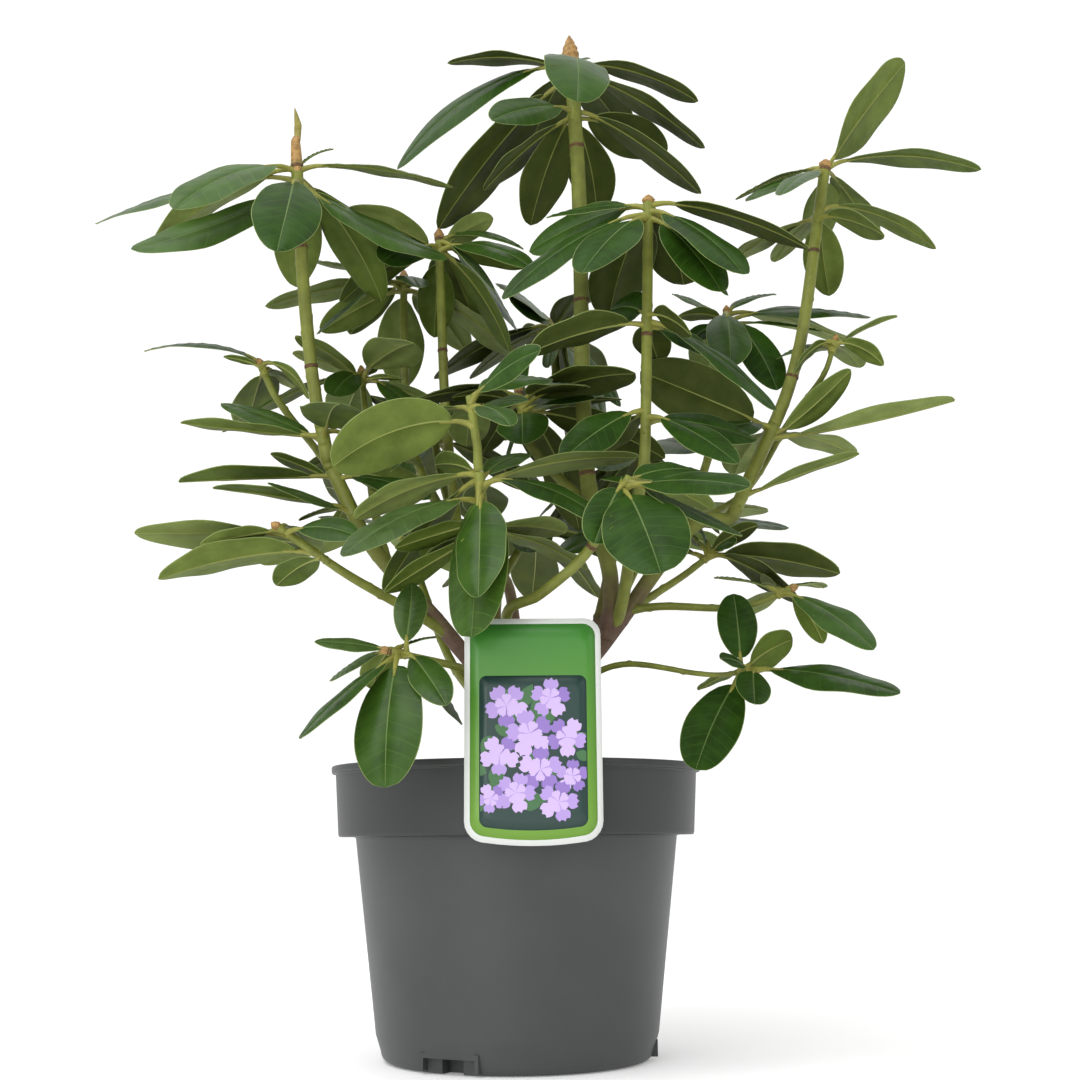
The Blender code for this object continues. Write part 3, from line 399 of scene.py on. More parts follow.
def sample(at, known, values):
    """Values at places between known ones, by straight lines, for each of their columns."""
    return np.stack([np.interp(at, known, column) for column in values.T], -1)


def travelled(line):
    """How far along a line each of its points lies."""
    return np.concatenate(([0.0], np.cumsum(np.linalg.norm(np.diff(line, axis=0), axis=1))))


def unit_rows(rows):
    """Each row of an array brought to length one."""
    return rows / np.linalg.norm(rows, axis=1)[:, None]


def round_rings(line, radii, sides):
    """Rings square to a line. Each point stands off by its radius, one for a row or one for a point."""
    along = unit_rows(np.gradient(line, axis=0))
    side = unit_rows(np.cross(along, RING_LEAN))
    front = np.cross(along, side)
    turn = np.arange(sides) * 2 * np.pi / sides
    spokes = side[:, None] * np.cos(turn)[:, None] + front[:, None] * np.sin(turn)[:, None]
    radii = np.asarray(radii, float).reshape(len(line), -1)
    return line[:, None] + spokes * radii[..., None]


def smooth_line(knots, leave, arrive, step):
    """Points about a step apart on Hermite spans through the knots, from one end direction to the other."""
    knots = np.array(knots, float)
    spans = np.linalg.norm(np.diff(knots, axis=0), axis=1)
    slopes = np.gradient(knots, axis=0)
    slopes[0] = leave * spans[0]
    slopes[-1] = arrive * spans[-1]
    points = [knots[:1]]
    for i, span in enumerate(spans):
        t = np.linspace(0, 1, max(2, round(span / step)) + 1)[1:, None]
        points.append(
            (2 * t**3 - 3 * t**2 + 1) * knots[i]
            + (t**3 - 2 * t**2 + t) * slopes[i]
            + (3 * t**2 - 2 * t**3) * knots[i + 1]
            + (t**3 - t**2) * slopes[i + 1]
        )
    return np.concatenate(points)


def point_at(line, share):
    """The point at a share of a line's length, and the line's direction there."""
    steps = travelled(line)
    target = share * steps[-1]
    index = min(int(np.searchsorted(steps, target, side="right")) - 1, len(line) - 2)
    along = unit(line[index + 1] - line[index])
    return line[index] + along * (target - steps[index]), along


def ring_quads(rows, sides):
    """The quads that join each ring's points to the next ring's, by point number."""
    row = np.arange(rows - 1)[:, None] * sides
    here = row + np.arange(sides)
    there = row + (np.arange(sides) + 1) % sides
    return np.stack((here, there, there + sides, here + sides), -1).reshape(-1, 4)


def tube(line, radii, sides=6):
    """Points and faces of a closed tube: rings square to the line, joined by quads and capped."""
    last = (len(line) - 1) * sides
    caps = [list(range(sides))[::-1], list(range(last, last + sides))]
    return round_rings(line, radii, sides).reshape(-1, 3), ring_quads(len(line), sides).tolist() + caps


# The plant's plan: lines and radii in millimetres


def whorl_half(shoot):
    """Half the length of stem that a whorl's leaves stand on."""
    return max(6.0, WHORL_PITCH * (len(shoot.leaves) + shoot.extra) / 2)


def whorl_stem(shoot):
    """The foot, the top and the direction of the short stem that a whorl's leaves stand on."""
    heading, tilt = shoot.lean
    up = direction(heading, 90 - tilt)
    half = whorl_half(shoot)
    node = np.array(shoot.node, float)
    return node - up * (half + max(shoot.older, default=0)), node + up * half, up


def bough_line(shoot, lines, step):
    """A bough's points, from inside its parent or just above it to just below its whorl's stem."""
    foot, _, up = whorl_stem(shoot)
    last = foot - up * GAP_MM
    knots = [np.array(point, float) for point in shoot.via] + [last - up * STRAIGHT_END]
    if shoot.share >= 1:
        _, top, along = whorl_stem(SHOOTS[shoot.parent])
        start = top + along * GAP_MM
        knots.insert(0, start + along * STRAIGHT_END)
        return np.concatenate(([start], smooth_line(knots, along, up, step), [last]))
    start, along = point_at(lines[shoot.parent], shoot.share)
    leave = unit(unit(knots[0] - start) + 0.5 * along)
    return np.concatenate((smooth_line([start, *knots], leave, up, step), [last]))


def plan_boughs(step):
    """Each bough's line and the radius at each of its points, parents before children."""
    lines = {"trunk": np.array(TRUNK_LINE, float)}
    radii = {"trunk": np.array(TRUNK_RADII)}
    waiting = dict(SHOOTS)
    while waiting:
        for name, shoot in list(waiting.items()):
            if shoot.parent in lines:
                lines[name] = bough_line(shoot, lines, step)
                radii[name] = np.linspace(*shoot.radii, len(lines[name]))
                del waiting[name]
    return lines, radii


def leaf_midrib(foot, tip, arch, shares):
    """Points at shares of a leaf's length: an arc in an upright plane, its foot lifted as a petiole is."""
    s = np.linspace(0, 1, 61)
    bend = arch * np.radians(ARCH * (0.5 - s) + KICK * np.exp(-s / (0.6 * PETIOLE)))
    plan = np.concatenate(([0], np.cumsum(np.exp(1j * bend[1:]))))
    plan = np.interp(shares, s, plan / plan[-1])
    chord = tip - foot
    side = unit(np.cross(chord, (0, 0, 1)))
    rise = np.cross(side, chord)
    return foot + plan.real[:, None] * chord + plan.imag[:, None] * rise, side


def blade_shape(u, width):
    """The share of its full width that a blade has at a share of its length. A broad blade is blunter."""
    return np.sin(np.pi * u**1.08) ** (BLUNT if width >= BROAD else POINTED)


def leaf_loft(foot, tip, roll, width, arch, cup, puff=0.0, whole=True):
    """Points and faces of a leaf: three-cornered sections along its midrib that close in a point."""
    blade = np.array(BLADE_SHARES)
    shares = np.concatenate(((0, PETIOLE), PETIOLE + (1 - PETIOLE) * blade, (1,)))
    middle, side = leaf_midrib(foot, tip, arch, shares)
    length = np.linalg.norm(np.diff(middle, axis=0), axis=1).sum() * (1 - PETIOLE)
    along = unit_rows(np.gradient(middle, axis=0))
    up = np.cross(side, along)
    turn = math.radians(roll) * np.concatenate(((0, 0.5), np.ones(len(blade) + 1)))[:, None]
    flat = side * np.cos(turn) - up * np.sin(turn)
    flat = unit_rows(flat - along * (flat * along).sum(1)[:, None])
    up = np.cross(flat, along)
    half = np.concatenate(((PETIOLE_THICK / 2,) * 2, width * length / 2 * blade_shape(blade, width)))
    half = half[:, None] + puff
    ridge = np.array([PETIOLE_THICK / 2] * 2 + [LEAF_RIDGE] * len(blade))[:, None] + puff
    drop = np.array([PETIOLE_THICK / 3] * 2 + [0.0] * len(blade))[:, None] + LEAF_DROP * half * max(cup, 0)
    middle, last = middle[:-1], middle[-1:]
    flat, up = flat[:-1], up[:-1]
    edges = middle - up * drop
    points = np.stack((edges + flat * half, middle + up * ridge, edges - flat * half), 1)
    if not whole:
        points = points[2:]
    rings = len(points)
    points = np.concatenate((points.reshape(-1, 3), last))
    faces = [[0, 1, 2]]
    for ring in range(rings - 1):
        for k in range(3):
            a, b = 3 * ring + k, 3 * ring + (k + 1) % 3
            faces.append([a, a + 3, b + 3, b])
    top = 3 * (rings - 1)
    faces += [[top + k, 3 * rings, top + (k + 1) % 3] for k in range(3)]
    return points, faces


class Block(NamedTuple):
    """Something that leaves stay clear of: who owns it, its box and its faces in a search tree."""

    owner: str
    low: np.ndarray
    high: np.ndarray
    tree: BVHTree


def block(owner, points, faces):
    """The block of an owner's points and faces."""
    return Block(owner, points.min(0), points.max(0), BVHTree.FromPolygons(points.tolist(), faces))


def touches(found, blocks, own):
    """Whether a block crosses any of the others, leaving out those that its own whorl owns."""
    for other in blocks:
        if other.owner == own or (other.low > found.high).any() or (found.low > other.high).any():
            continue
        if other.tree.overlap(found.tree):
            return True
    return False


def fixed_blocks(lines, radii):
    """The pot, the label, the boughs and the whorls' stems, as blocks."""
    pot = tube(np.array(((0, 0, 0), (0, 0, POT_HEIGHT + 1))), (LIP_RADIUS + 1.0,) * 2, 40)
    middle = np.array([(LABEL_X, -LIP_RADIUS - 1.0, z) for z in (LABEL_BOTTOM, LABEL_TOP + 3.0)])
    across = np.array(((-0.5, -0.04), (0.5, -0.04), (0.5, 0.06), (-0.5, 0.06))) * LABEL_WIDTH
    corners = (middle[:, None] + np.pad(across, ((0, 0), (0, 1)))).reshape(-1, 3)
    card = [[0, 3, 2, 1], [4, 5, 6, 7], [0, 1, 5, 4], [1, 2, 6, 5], [2, 3, 7, 6], [3, 0, 4, 7]]
    blocks = [block("pot", *pot), block("label", corners, card)]
    for name, line in lines.items():
        blocks.append(block("bough", *tube(line, radii[name] + 0.4)))
    for name, shoot in SHOOTS.items():
        foot, top, _ = whorl_stem(shoot)
        blocks.append(block(name, *tube(np.array((foot, top)), (shoot.radii[1] + 0.4,) * 2)))
    return blocks


def dealt_leaves(shoot, placed, seed):
    """Rows for leaves dealt one by one into the middle of a whorl's widest gap, at rises and reaches from a
    seeded draw. None hangs below the crown's floor."""
    draw = random.Random(seed)
    headings = [heading % 360 for heading in placed] or [draw.uniform(0, 360)]
    for _ in range(shoot.extra):
        ring = sorted(headings)
        gaps = [(after - before, before) for before, after in zip(ring, [*ring[1:], ring[0] + 360])]
        width, before = max(gaps)
        heading = (before + width / 2 + draw.uniform(-8, 8)) % 360
        headings.append(heading)
        reach = draw.uniform(*DEALT_REACH)
        lowest = math.degrees(math.asin(max(-1, (CROWN_FLOOR - shoot.node[2]) / reach)))
        yield heading, max(lowest, draw.uniform(*DEALT_RISE)), reach, draw.uniform(-DEALT_ROLL, DEALT_ROLL)


# Whorls inside and behind the crown that bear more leaves than their solids do
INNER_STEP = 222.5
INNER_RISE = (-25, 12)
INNER_REACH = (58, 80)
INNER_DROP = 6.0
INNER_LEAVES = {
    "core": 4, "rear_centre": 4, "rear_left": 4, "rear_right": 4, "rear_low": 4, "rear_low_left": 4,
    "rear_low_right": 4, "left_rear": 3, "right_back": 3, "left_back": 2, "inner_left": 3,
}


def inner_leaves(name):
    """Shorter leaves dealt round a whorl, some way down its stem, by the golden angle."""
    draw = random.Random(name)
    for k in range(INNER_LEAVES.get(name, 0)):
        heading = INNER_STEP * k + draw.uniform(-15, 15)
        rise = draw.uniform(*INNER_RISE)
        yield (heading, rise, draw.uniform(*INNER_REACH), draw.uniform(-30, 30)), INNER_DROP


def place_leaves(lines, radii):
    """Every whorl's leaves as (foot, tip, roll, width, arch, cup): those listed, those dealt, then the
    inner ones. A leaf that would touch a limb or a leaf is turned or lifted a little, and one that finds
    no clear place is skipped."""
    blocks = fixed_blocks(lines, radii)
    blades = {name: [] for name in SHOOTS}
    leaves = {name: [] for name in SHOOTS}
    headings = {name: [] for name in SHOOTS}
    for stage in ("set", "dealt", "inner"):
        for seed, (name, shoot) in enumerate(SHOOTS.items()):
            up = whorl_stem(shoot)[2]
            if stage == "set":
                rows = [(leaf, 0) for leaf in shoot.leaves]
                rows += [(leaf, drop) for drop, tier in shoot.older.items() for leaf in tier]
            elif stage == "dealt":
                rows = [(leaf, 0) for leaf in dealt_leaves(shoot, headings[name], seed)]
            else:
                rows = inner_leaves(name)
            for row, drop in rows:
                leaf = Leaf(*row)
                node = np.array(shoot.node) - up * drop
                spread = 2 * (GOLDEN * len(leaves[name]) % 1) - 1
                root = node + up * whorl_half(shoot) * FOOT_SPREAD * spread
                for turn, lift in NUDGES:
                    way = direction(leaf.heading + turn, max(-84, leaf.rise + lift))
                    form = (root, node + leaf.reach * way, leaf.roll, leaf.width, leaf.arch, leaf.cup)
                    whole = block(name, *leaf_loft(*form, CLEARANCE))
                    blade = block(name + "_blade", *leaf_loft(*form, CLEARANCE, False))
                    if not touches(whole, blocks, name) and not touches(blade, blades[name], ""):
                        blocks.append(whole)
                        blades[name].append(blade)
                        leaves[name].append(form)
                        headings[name].append(leaf.heading + turn)
                        break
    return leaves


# Meshes worked out as arrays


def shell(rings, slots=0, first=None, last=None):
    """A closed skin over a stack of rings, which are points by row and by place round the row. Neighbours
    are joined by quads, and each end closes on one point, the ring's mean unless it is given. Slots are
    one number, or one for each strip between two places. Faces turn so that the volume is positive."""
    rows, sides = rings.shape[:2]
    ends = [rings[0].mean(0) if first is None else first, rings[-1].mean(0) if last is None else last]
    points = np.concatenate((rings.reshape(-1, 3), ends))
    quads = ring_quads(rows, sides)
    start, stop = quads[:sides, 0], quads[:sides, 1]
    none = np.full(sides, -1)
    foot = np.stack((stop, start, np.full(sides, rows * sides), none), -1)
    head = np.stack((start, stop, np.full(sides, rows * sides + 1), none), -1)
    head[:, :2] += (rows - 1) * sides
    faces = np.concatenate((quads, foot, head))
    whole = faces[:, 3] >= 0
    corners = points[faces]
    volume = (corners[:, 0] * np.cross(corners[:, 1], corners[:, 2])).sum()
    volume += (corners[whole, 0] * np.cross(corners[whole, 2], corners[whole, 3])).sum()
    if volume < 0:
        faces[whole] = faces[whole, ::-1]
        faces[~whole, :3] = faces[~whole, 2::-1]
    return points, faces, np.tile(np.broadcast_to(slots, (sides,)), rows + 1)


def in_slot(skin, slot):
    """A skin with its material numbers raised by so many."""
    points, faces, slots = skin
    return points, faces, slots + slot


def make_piece(name, skins, materials, *nodes, flat=False):
    """One object of several skins, riding on the root body in place of the CAD nodes given."""
    starts = np.cumsum([0] + [len(points) for points, _, _ in skins])
    points = np.concatenate([points for points, _, _ in skins]) * MM
    faces = [np.where(faces < 0, -1, faces + start) for (_, faces, _), start in zip(skins, starts)]
    faces = np.concatenate(faces)
    slots = np.concatenate([slots for _, _, slots in skins])
    corners = faces >= 0
    counts = corners.sum(1)
    mesh = bpy.data.meshes.new(name)
    mesh.vertices.add(len(points))
    mesh.vertices.foreach_set("co", points.astype(np.float32).ravel())
    mesh.loops.add(int(counts.sum()))
    mesh.loops.foreach_set("vertex_index", faces[corners].astype(np.int32))
    mesh.polygons.add(len(faces))
    mesh.polygons.foreach_set("loop_start", np.concatenate(([0], np.cumsum(counts)[:-1])).astype(np.int32))
    mesh.polygons.foreach_set("material_index", slots.astype(np.int32))
    mesh.polygons.foreach_set("use_smooth", np.full(len(faces), not flat))
    mesh.update(calc_edges=True)
    mesh.validate()
    for material in materials:
        mesh.materials.append(material)
    piece = bpy.data.objects.new(name, mesh)
    bpy.context.scene.collection.objects.link(piece)
    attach(piece, "root")
    if nodes:
        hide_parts(*nodes)
        SLOTS.get(nodes[0], nodes[0])
    return piece


def turned_rings(radii, levels, sides):
    """Level rings round the Z axis, one for each radius and its level."""
    turn = np.arange(sides) * 2 * np.pi / sides
    radii = np.asarray(radii, float)[:, None]
    levels = np.broadcast_to(np.asarray(levels, float)[:, None], (len(radii), sides))
    return np.stack((radii * np.cos(turn), radii * np.sin(turn), levels), -1)


# Leaves, buds and stems

LEAF_VEINS = 9
VEIN_START = 0.35
VEIN_SWEEP = 0.13
VEIN_SHARE = 0.09
CREST_SHARE = 0.58
LEAF_THICK = 0.5
FULLNESS = 0.8
MARGIN = 0.45
RIB_HALF = 0.6
RIB_DEPTH = 1.0
GROOVE = 0.3
PANEL_SWELL = 0.45
TWIST = 9.0
SWAY = 0.025
WAVE = (0.02, 0.075)
WAVE_COUNT = (1.3, 2.3)
STALK_SHARES = (0, 0.012, 0.03, 0.07, PETIOLE, PETIOLE + 0.09)
STALK_RADII = (3.0, 2.9, 2.3, 1.8, 1.5, 0.8)
LONG_BUD = 30
SMALL_BUD = 4
SCAR_PITCH = 9.5
SCAR_RISE = 0.62
SCAR_TURN = 2.39996
RING_LENGTH = 2.8
RING_RISE = 0.28
# Places round a leaf's section: side, share of the half width, and whether it is below
SECTION = (
    (-1, 1.0, 0), (-1, 0.97, 0), (-1, 0.5, 0), (-1, 0.1, 0), (0, 0.0, 0), (1, 0.1, 0),
    (1, 0.5, 0), (1, 0.97, 0), (1, 1.0, 0), (1, 0.97, 1), (1, 0.5, 1), (1, 0.1, 1),
    (0, 0.0, 1), (-1, 0.1, 1), (-1, 0.5, 1), (-1, 0.97, 1),
)
UPPER, UNDER, RIB, RIB_UNDER, EDGE = range(5)
STRIPS = np.array((
    EDGE, UPPER, UPPER, RIB, RIB, UPPER, UPPER, EDGE,
    EDGE, UNDER, UNDER, RIB_UNDER, RIB_UNDER, UNDER, UNDER, EDGE,
))


def leaf_rows():
    """Shares of the blade's length: for each vein its two banks and the crest of the panel after it."""
    start = np.arange(LEAF_VEINS)[:, None] + VEIN_START
    rows = ((start + np.array((0, VEIN_SHARE, CREST_SHARE))) / LEAF_VEINS).ravel()
    return np.concatenate(([0.012], rows[rows < 0.985], [0.99]))


def leaf_skin(form, draw, upper, under):
    """One leaf as a closed skin. Its rows sweep forward from the midrib as the side veins do. Height over
    the blade's middle surface is minus a power of the distance from the midrib, plus a wave that grows to
    the margin, a groove on the midrib above, a rib on it below, and panels that swell between the veins."""
    foot, tip, roll, width, arch, cup = form
    fine = np.linspace(0, 1, 49)
    middle, side = leaf_midrib(foot, tip, arch, PETIOLE + (1 - PETIOLE) * fine)
    length = travelled(middle)[-1]
    along = unit_rows(np.gradient(middle, axis=0))
    up = np.cross(side, along)
    turn = roll * np.minimum(1, 0.6 + 4 * fine) + draw.uniform(-TWIST, TWIST) * (fine - 0.4)
    turn = np.radians(turn)[:, None]
    flat = side * np.cos(turn) - up * np.sin(turn)
    flat = unit_rows(flat - along * (flat * along).sum(1)[:, None])
    up = np.cross(flat, along)
    middle = middle + flat * (draw.uniform(-SWAY, SWAY) * length * np.sin(np.pi * fine))[:, None]
    half = width * length / 2 * blade_shape(fine, width) ** FULLNESS
    rows = leaf_rows()
    sign, share, below = np.array(SECTION).T
    at = rows[:, None] + VEIN_SWEEP * share * np.sin(np.pi * rows)[:, None] ** 0.8
    at = np.clip(at, 0, 0.995)
    wide = np.interp(at, fine, half)
    across = share * wide
    across = np.where(share == 0.1, np.minimum(RIB_HALF * (1 - 0.7 * at), 0.3 * wide), across)
    across = np.where(share == 0.97, wide - np.minimum(MARGIN, 0.2 * wide), across)
    reach = across / wide
    wave = draw.uniform(*WAVE)
    phase = draw.uniform(*WAVE_COUNT) * at + draw.random()
    lift = -LEAF_DROP * cup * wide * (reach**1.7 if cup > 0 else reach)
    lift += wave * wide * reach**2 * np.sin(2 * np.pi * phase + 1.3 * sign)
    crest = np.zeros(len(rows))
    crest[3:-1:3] = PANEL_SWELL
    lift += crest[:, None] * (share == 0.5)
    lift -= GROOVE * (share == 0)
    thick = LEAF_THICK + (share == 0) * RIB_DEPTH * (1 - 0.8 * at)
    thick += (share == 0.1) * 0.15 - (share == 0.97) * 0.1
    lift -= thick * below
    rings = sample(at, fine, middle)
    rings += sample(at, fine, flat) * (sign * across)[..., None]
    rings += sample(at, fine, up) * lift[..., None]
    points, faces, slots = shell(rings, STRIPS, middle[0], middle[-1])
    rest = UPPERS + UNDERS
    slots = np.array((upper, UPPERS + under, rest, rest + 1, rest + 2))[slots]
    strip = np.arange((len(rows) - 1) * len(SECTION))
    veins = (strip // len(SECTION) % 3 == 1) & (STRIPS[strip % len(SECTION)] == UPPER)
    slots[: len(strip)][veins] = rest + 3 + upper
    return points, faces, slots


def petiole_skin(form):
    """A leaf's stalk: round, widest where it sits on the stem, and run on a little way under the blade."""
    foot, tip, _, _, arch, _ = form
    shares = np.concatenate((STALK_SHARES[:3], np.linspace(0.05, STALK_SHARES[-1], 6)))
    line, _ = leaf_midrib(foot, tip, arch, shares)
    line = line - np.array((0, 0, 0.35)) * (shares > PETIOLE - 0.01)[:, None]
    return shell(round_rings(line, np.interp(shares, STALK_SHARES, STALK_RADII), 8))


def bud_skin(top, up, radius, length, sides=12):
    """A winter bud in pointed scales: its radius swells, closes in a point, and steps where a scale ends.
    A long bud is a smooth column, then a kink, then a folded young leaf that ends in a thin point."""
    long = length > LONG_BUD
    below = 9.0 if long else 2.0
    t = np.linspace(0, 1, 8 + int(length / 1.6))
    line = top + up * ((t * (length + below) - below)[:, None])
    turn = np.arange(sides) * 2 * np.pi / sides
    if long:
        side = unit(np.cross(up, (0.3, -0.9, 0.1)))
        line = line + side * np.interp(t, (0, 0.5, 0.58, 0.75, 1), (0, 0, 1.6, 2.2, 0.6))[:, None]
        places = (0, 0.06, 0.4, 0.54, 0.6, 0.72, 0.9, 1)
        body = np.interp(t, places, (0.8, 1.06, 0.86, 0.74, 0.62, 0.72, 0.34, 0.06))
        form = 1 - np.interp(t, (0.5, 0.62), (0, 0.4))[:, None] * np.abs(np.sin(turn))
    else:
        body = np.interp(t, (0, 0.15, 0.35, 0.6, 0.85, 1), (0.95, 1.2, 1.26, 1.0, 0.52, 0.07))
        form = 1.08 - 0.2 * ((t[:, None] * max(3, length / 4) - turn / np.pi) % 1)
    points, faces, slots = shell(round_rings(line, body[:, None] * radius * form, sides))
    row = np.arange(len(slots)) // sides
    young = long & (row >= 0.56 * (len(t) - 1)) & (row < len(t) - 1)
    return points, faces, slots + young


def node_ring(line, radii, place):
    """The ring of scars where a year's growth ended: a low brown band round a stem, so far along it."""
    steps = travelled(line)
    at = np.clip(place + np.linspace(-RING_LENGTH / 2, RING_LENGTH / 2, 7), 0.0, steps[-1])
    rise = RING_RISE * np.array((-0.6, 0.7, 1.0, 0.8, 1.0, 0.7, -0.6))
    return shell(round_rings(sample(at, steps, line), np.interp(at, steps, radii) * 1.03 + rise, 16))


def stem_skin(line, radii, seed, sides, scars, rough):
    """A stem along a line. Its radius carries long low ridges, and the crescents that fallen leaves left,
    set round it by the golden angle."""
    draw = random.Random(seed)
    steps = travelled(line)
    total = steps[-1]
    at = np.linspace(0, total, max(4, int(total / 2.2)))
    body = np.interp(at, steps, radii)[:, None]
    turn = np.arange(sides) * 2 * np.pi / sides
    surface = body.copy()
    for k in (2, 3, 5, 7):
        height = rough * draw.uniform(0.4, 1)
        phase = k * turn + draw.uniform(0, 6) + at[:, None] / draw.uniform(9, 40)
        surface = surface + body * height * np.sin(phase)
    if scars:
        places = np.arange(8.0, total - 6, SCAR_PITCH)
        places = places + np.array([draw.uniform(-2, 2) for _ in places])
        angles = (np.arange(len(places)) * SCAR_TURN + draw.uniform(0, 6)) % (2 * np.pi)
        for place, angle in zip(places, angles):
            off = (turn - angle + np.pi) % (2 * np.pi) - np.pi
            rise = at[:, None] - place - 0.12 * (off * body) ** 2
            surface = surface + SCAR_RISE * np.exp(-((rise / 1.2) ** 2) - (off / 0.75) ** 2)
    return shell(round_rings(sample(at, steps, line), surface, sides))


# Colours and finishes


def srgb(code):
    """The linear colour of an sRGB hex code, with alpha."""
    channels = [int(code[i : i + 2], 16) / 255 for i in (1, 3, 5)]
    return (*(c / 12.92 if c <= 0.04045 else ((c + 0.055) / 1.055) ** 2.4 for c in channels), 1.0)


def add_node(tree, kind, inputs=None, **settings):
    """Adds a shader node. Each input is a value, or the output socket that it is linked to."""
    node = tree.nodes.new("ShaderNode" + kind)
    for key, value in settings.items():
        setattr(node, key, value)
    for key, value in (inputs or {}).items():
        if isinstance(value, bpy.types.NodeSocket):
            tree.links.new(value, node.inputs[key])
        else:
            node.inputs[key].default_value = value
    return node


def new_finish(name, **values):
    """A material with one Principled shader, whose sockets take the values given."""
    material = bpy.data.materials.new(name)
    material.use_nodes = True
    tree = material.node_tree
    shader = tree.nodes["Principled BSDF"]
    for key, value in values.items():
        shader.inputs[key.replace("_", " ")].default_value = value
    return material, tree, shader, add_node(tree, "TexCoord").outputs["Object"]


def mottle(tree, shader, place, light, dark, per_metre, low=0.35, high=0.65):
    """Base colour between two tones, by a soft noise of so many patches a metre."""
    inputs = {"Vector": place, "Scale": per_metre, "Detail": 3.0, "Roughness": 0.6}
    noise = add_node(tree, "TexNoise", inputs).outputs["Fac"]
    share = add_node(tree, "MapRange", {"Value": noise, "From Min": low, "From Max": high})
    tones = {"Factor": share.outputs["Result"], 6: srgb(light), 7: srgb(dark)}
    tone = add_node(tree, "Mix", tones, data_type="RGBA").outputs[2]
    tree.links.new(tone, shader.inputs["Base Color"])
    return tone


def grain(tree, shader, place, per_metre, depth, strength=0.5):
    """A bump of fine noise, its depth in metres."""
    noise = add_node(tree, "TexNoise", {"Vector": place, "Scale": per_metre, "Detail": 2.0})
    bump = add_node(tree, "Bump", {"Height": noise.outputs["Fac"], "Distance": depth, "Strength": strength})
    tree.links.new(bump.outputs["Normal"], shader.inputs["Normal"])


def mottled(name, roughness, ior, light, dark, per_metre, fine=None, spread=(0.35, 0.65), **values):
    """A material in two mottled tones, with a fine grain where its size, depth and strength are given."""
    material, tree, shader, place = new_finish(name, Roughness=roughness, IOR=ior, **values)
    mottle(tree, shader, place, light, dark, per_metre, *spread)
    if fine:
        grain(tree, shader, place, *fine)
    return material


def waxy_upper(name, light, dark, shine):
    """A leaf's upper side: a smooth waxy cuticle, so a soft grey shine lies over the green."""
    return mottled(name, 0.4, 1.42, light, dark, 60.0, (900.0, 0.00015, 0.35), Specular_IOR_Level=shine)


def matte_underside(name, light, dark):
    """A leaf's underside: open pores and no wax, so it is paler, yellower and nearly matte."""
    return mottled(name, 0.62, 1.38, light, dark, 55.0, (1400.0, 0.0001, 0.4), Specular_IOR_Level=0.2)


def plain_tissue(name, code):
    """A rib, margin or vein: tight pale tissue."""
    return new_finish(name, Base_Color=srgb(code), Roughness=0.55, IOR=1.42)[0]


# Light and dark tone, vein tone and shine of each kind of upper side
# The second upper tone is a random dark tone, and also painted shade where it goes to most leaves of the
# whorls inside and under the crown
UPPER_TONES = (
    ("#365516", "#2A4510", "#385718", 0.3),
    ("#2E4C13", "#213A0C", "#304E15", 0.14),
    ("#41601F", "#344F16", "#436221", 0.3),
    ("#435D29", "#34491C", "#455F2B", 0.3),
)
# The last underside tone is painted shade: it goes only to undersides that lie in the crown's shade
UNDER_TONES = (
    ("#6C7C38", "#5A692D"), ("#566824", "#47571C"), ("#7C8B49", "#69773A"), ("#47521F", "#3B4619"),
)
UPPERS = len(UPPER_TONES)
UNDERS = len(UNDER_TONES)


def leaf_finishes():
    """Upper sides, undersides, midrib above and below, margin, then a vein for each upper side."""
    uppers, veins = [], []
    for i, (light, dark, vein, shine) in enumerate(UPPER_TONES):
        uppers.append(waxy_upper(f"waxy_leaf_{i}", light, dark, shine))
        veins.append(waxy_upper(f"leaf_vein_{i}", vein, vein, shine))
    unders = [matte_underside(f"leaf_underside_{i}", *tones) for i, tones in enumerate(UNDER_TONES)]
    ribs = [plain_tissue("midrib", "#5A7136"), plain_tissue("midrib_underside", "#8A924A")]
    margin = plain_tissue("leaf_margin", "#7C8C4C")
    return [*uppers, *unders, *ribs, margin, *veins]


def green_stem():
    """This year's and last year's wood: smooth green skin with a yellow cast and a low shine."""
    return mottled("green_stem", 0.5, 1.43, "#7F8636", "#6C722B", 90.0, (700.0, 0.0003))


def woody_stem():
    """Older wood: brown bark at the foot that gives way to green skin higher up."""
    material, tree, shader, place = new_finish("woody_stem", Roughness=0.68, IOR=1.45)
    green = mottle(tree, shader, place, "#7A8134", "#666C29", 80.0)
    height = add_node(tree, "SeparateXYZ", {"Vector": place}).outputs["Z"]
    patch = add_node(tree, "TexNoise", {"Vector": place, "Scale": 45.0, "Detail": 4.0}).outputs["Fac"]
    uneven = add_node(tree, "Math", {0: patch, 1: 0.07, 2: height}, operation="MULTIPLY_ADD").outputs[0]
    share = add_node(tree, "MapRange", {"Value": uneven, "From Min": 0.300, "From Max": 0.350})
    crack = add_node(tree, "TexNoise", {"Vector": place, "Scale": 260.0, "Detail": 4.0}).outputs["Fac"]
    cork = {"Factor": crack, 6: srgb("#4A332B"), 7: srgb("#77604C")}
    bark = add_node(tree, "Mix", cork, data_type="RGBA").outputs[2]
    ages = {"Factor": share.outputs["Result"], 6: bark, 7: green}
    tone = add_node(tree, "Mix", ages, data_type="RGBA").outputs[2]
    tree.links.new(tone, shader.inputs["Base Color"])
    grain(tree, shader, place, 420.0, 0.0006, 0.7)
    return material


def leaf_stalk():
    """A petiole: smooth yellow-green skin with an olive cast."""
    return mottled("leaf_stalk", 0.5, 1.43, "#90903F", "#7D7D35", 120.0)


def bud_scale():
    """Winter bud scales: tan and papery, darker where they overlap."""
    return mottled("bud_scale", 0.6, 1.43, "#B08A50", "#8A6A3C", 260.0, (900.0, 0.0003), (0.4, 0.6))


def young_leaf():
    """A young leaf still folded in the bud: olive-yellow with a felt of fine hairs."""
    return mottled("young_leaf", 0.6, 1.42, "#8F8642", "#77702F", 200.0)


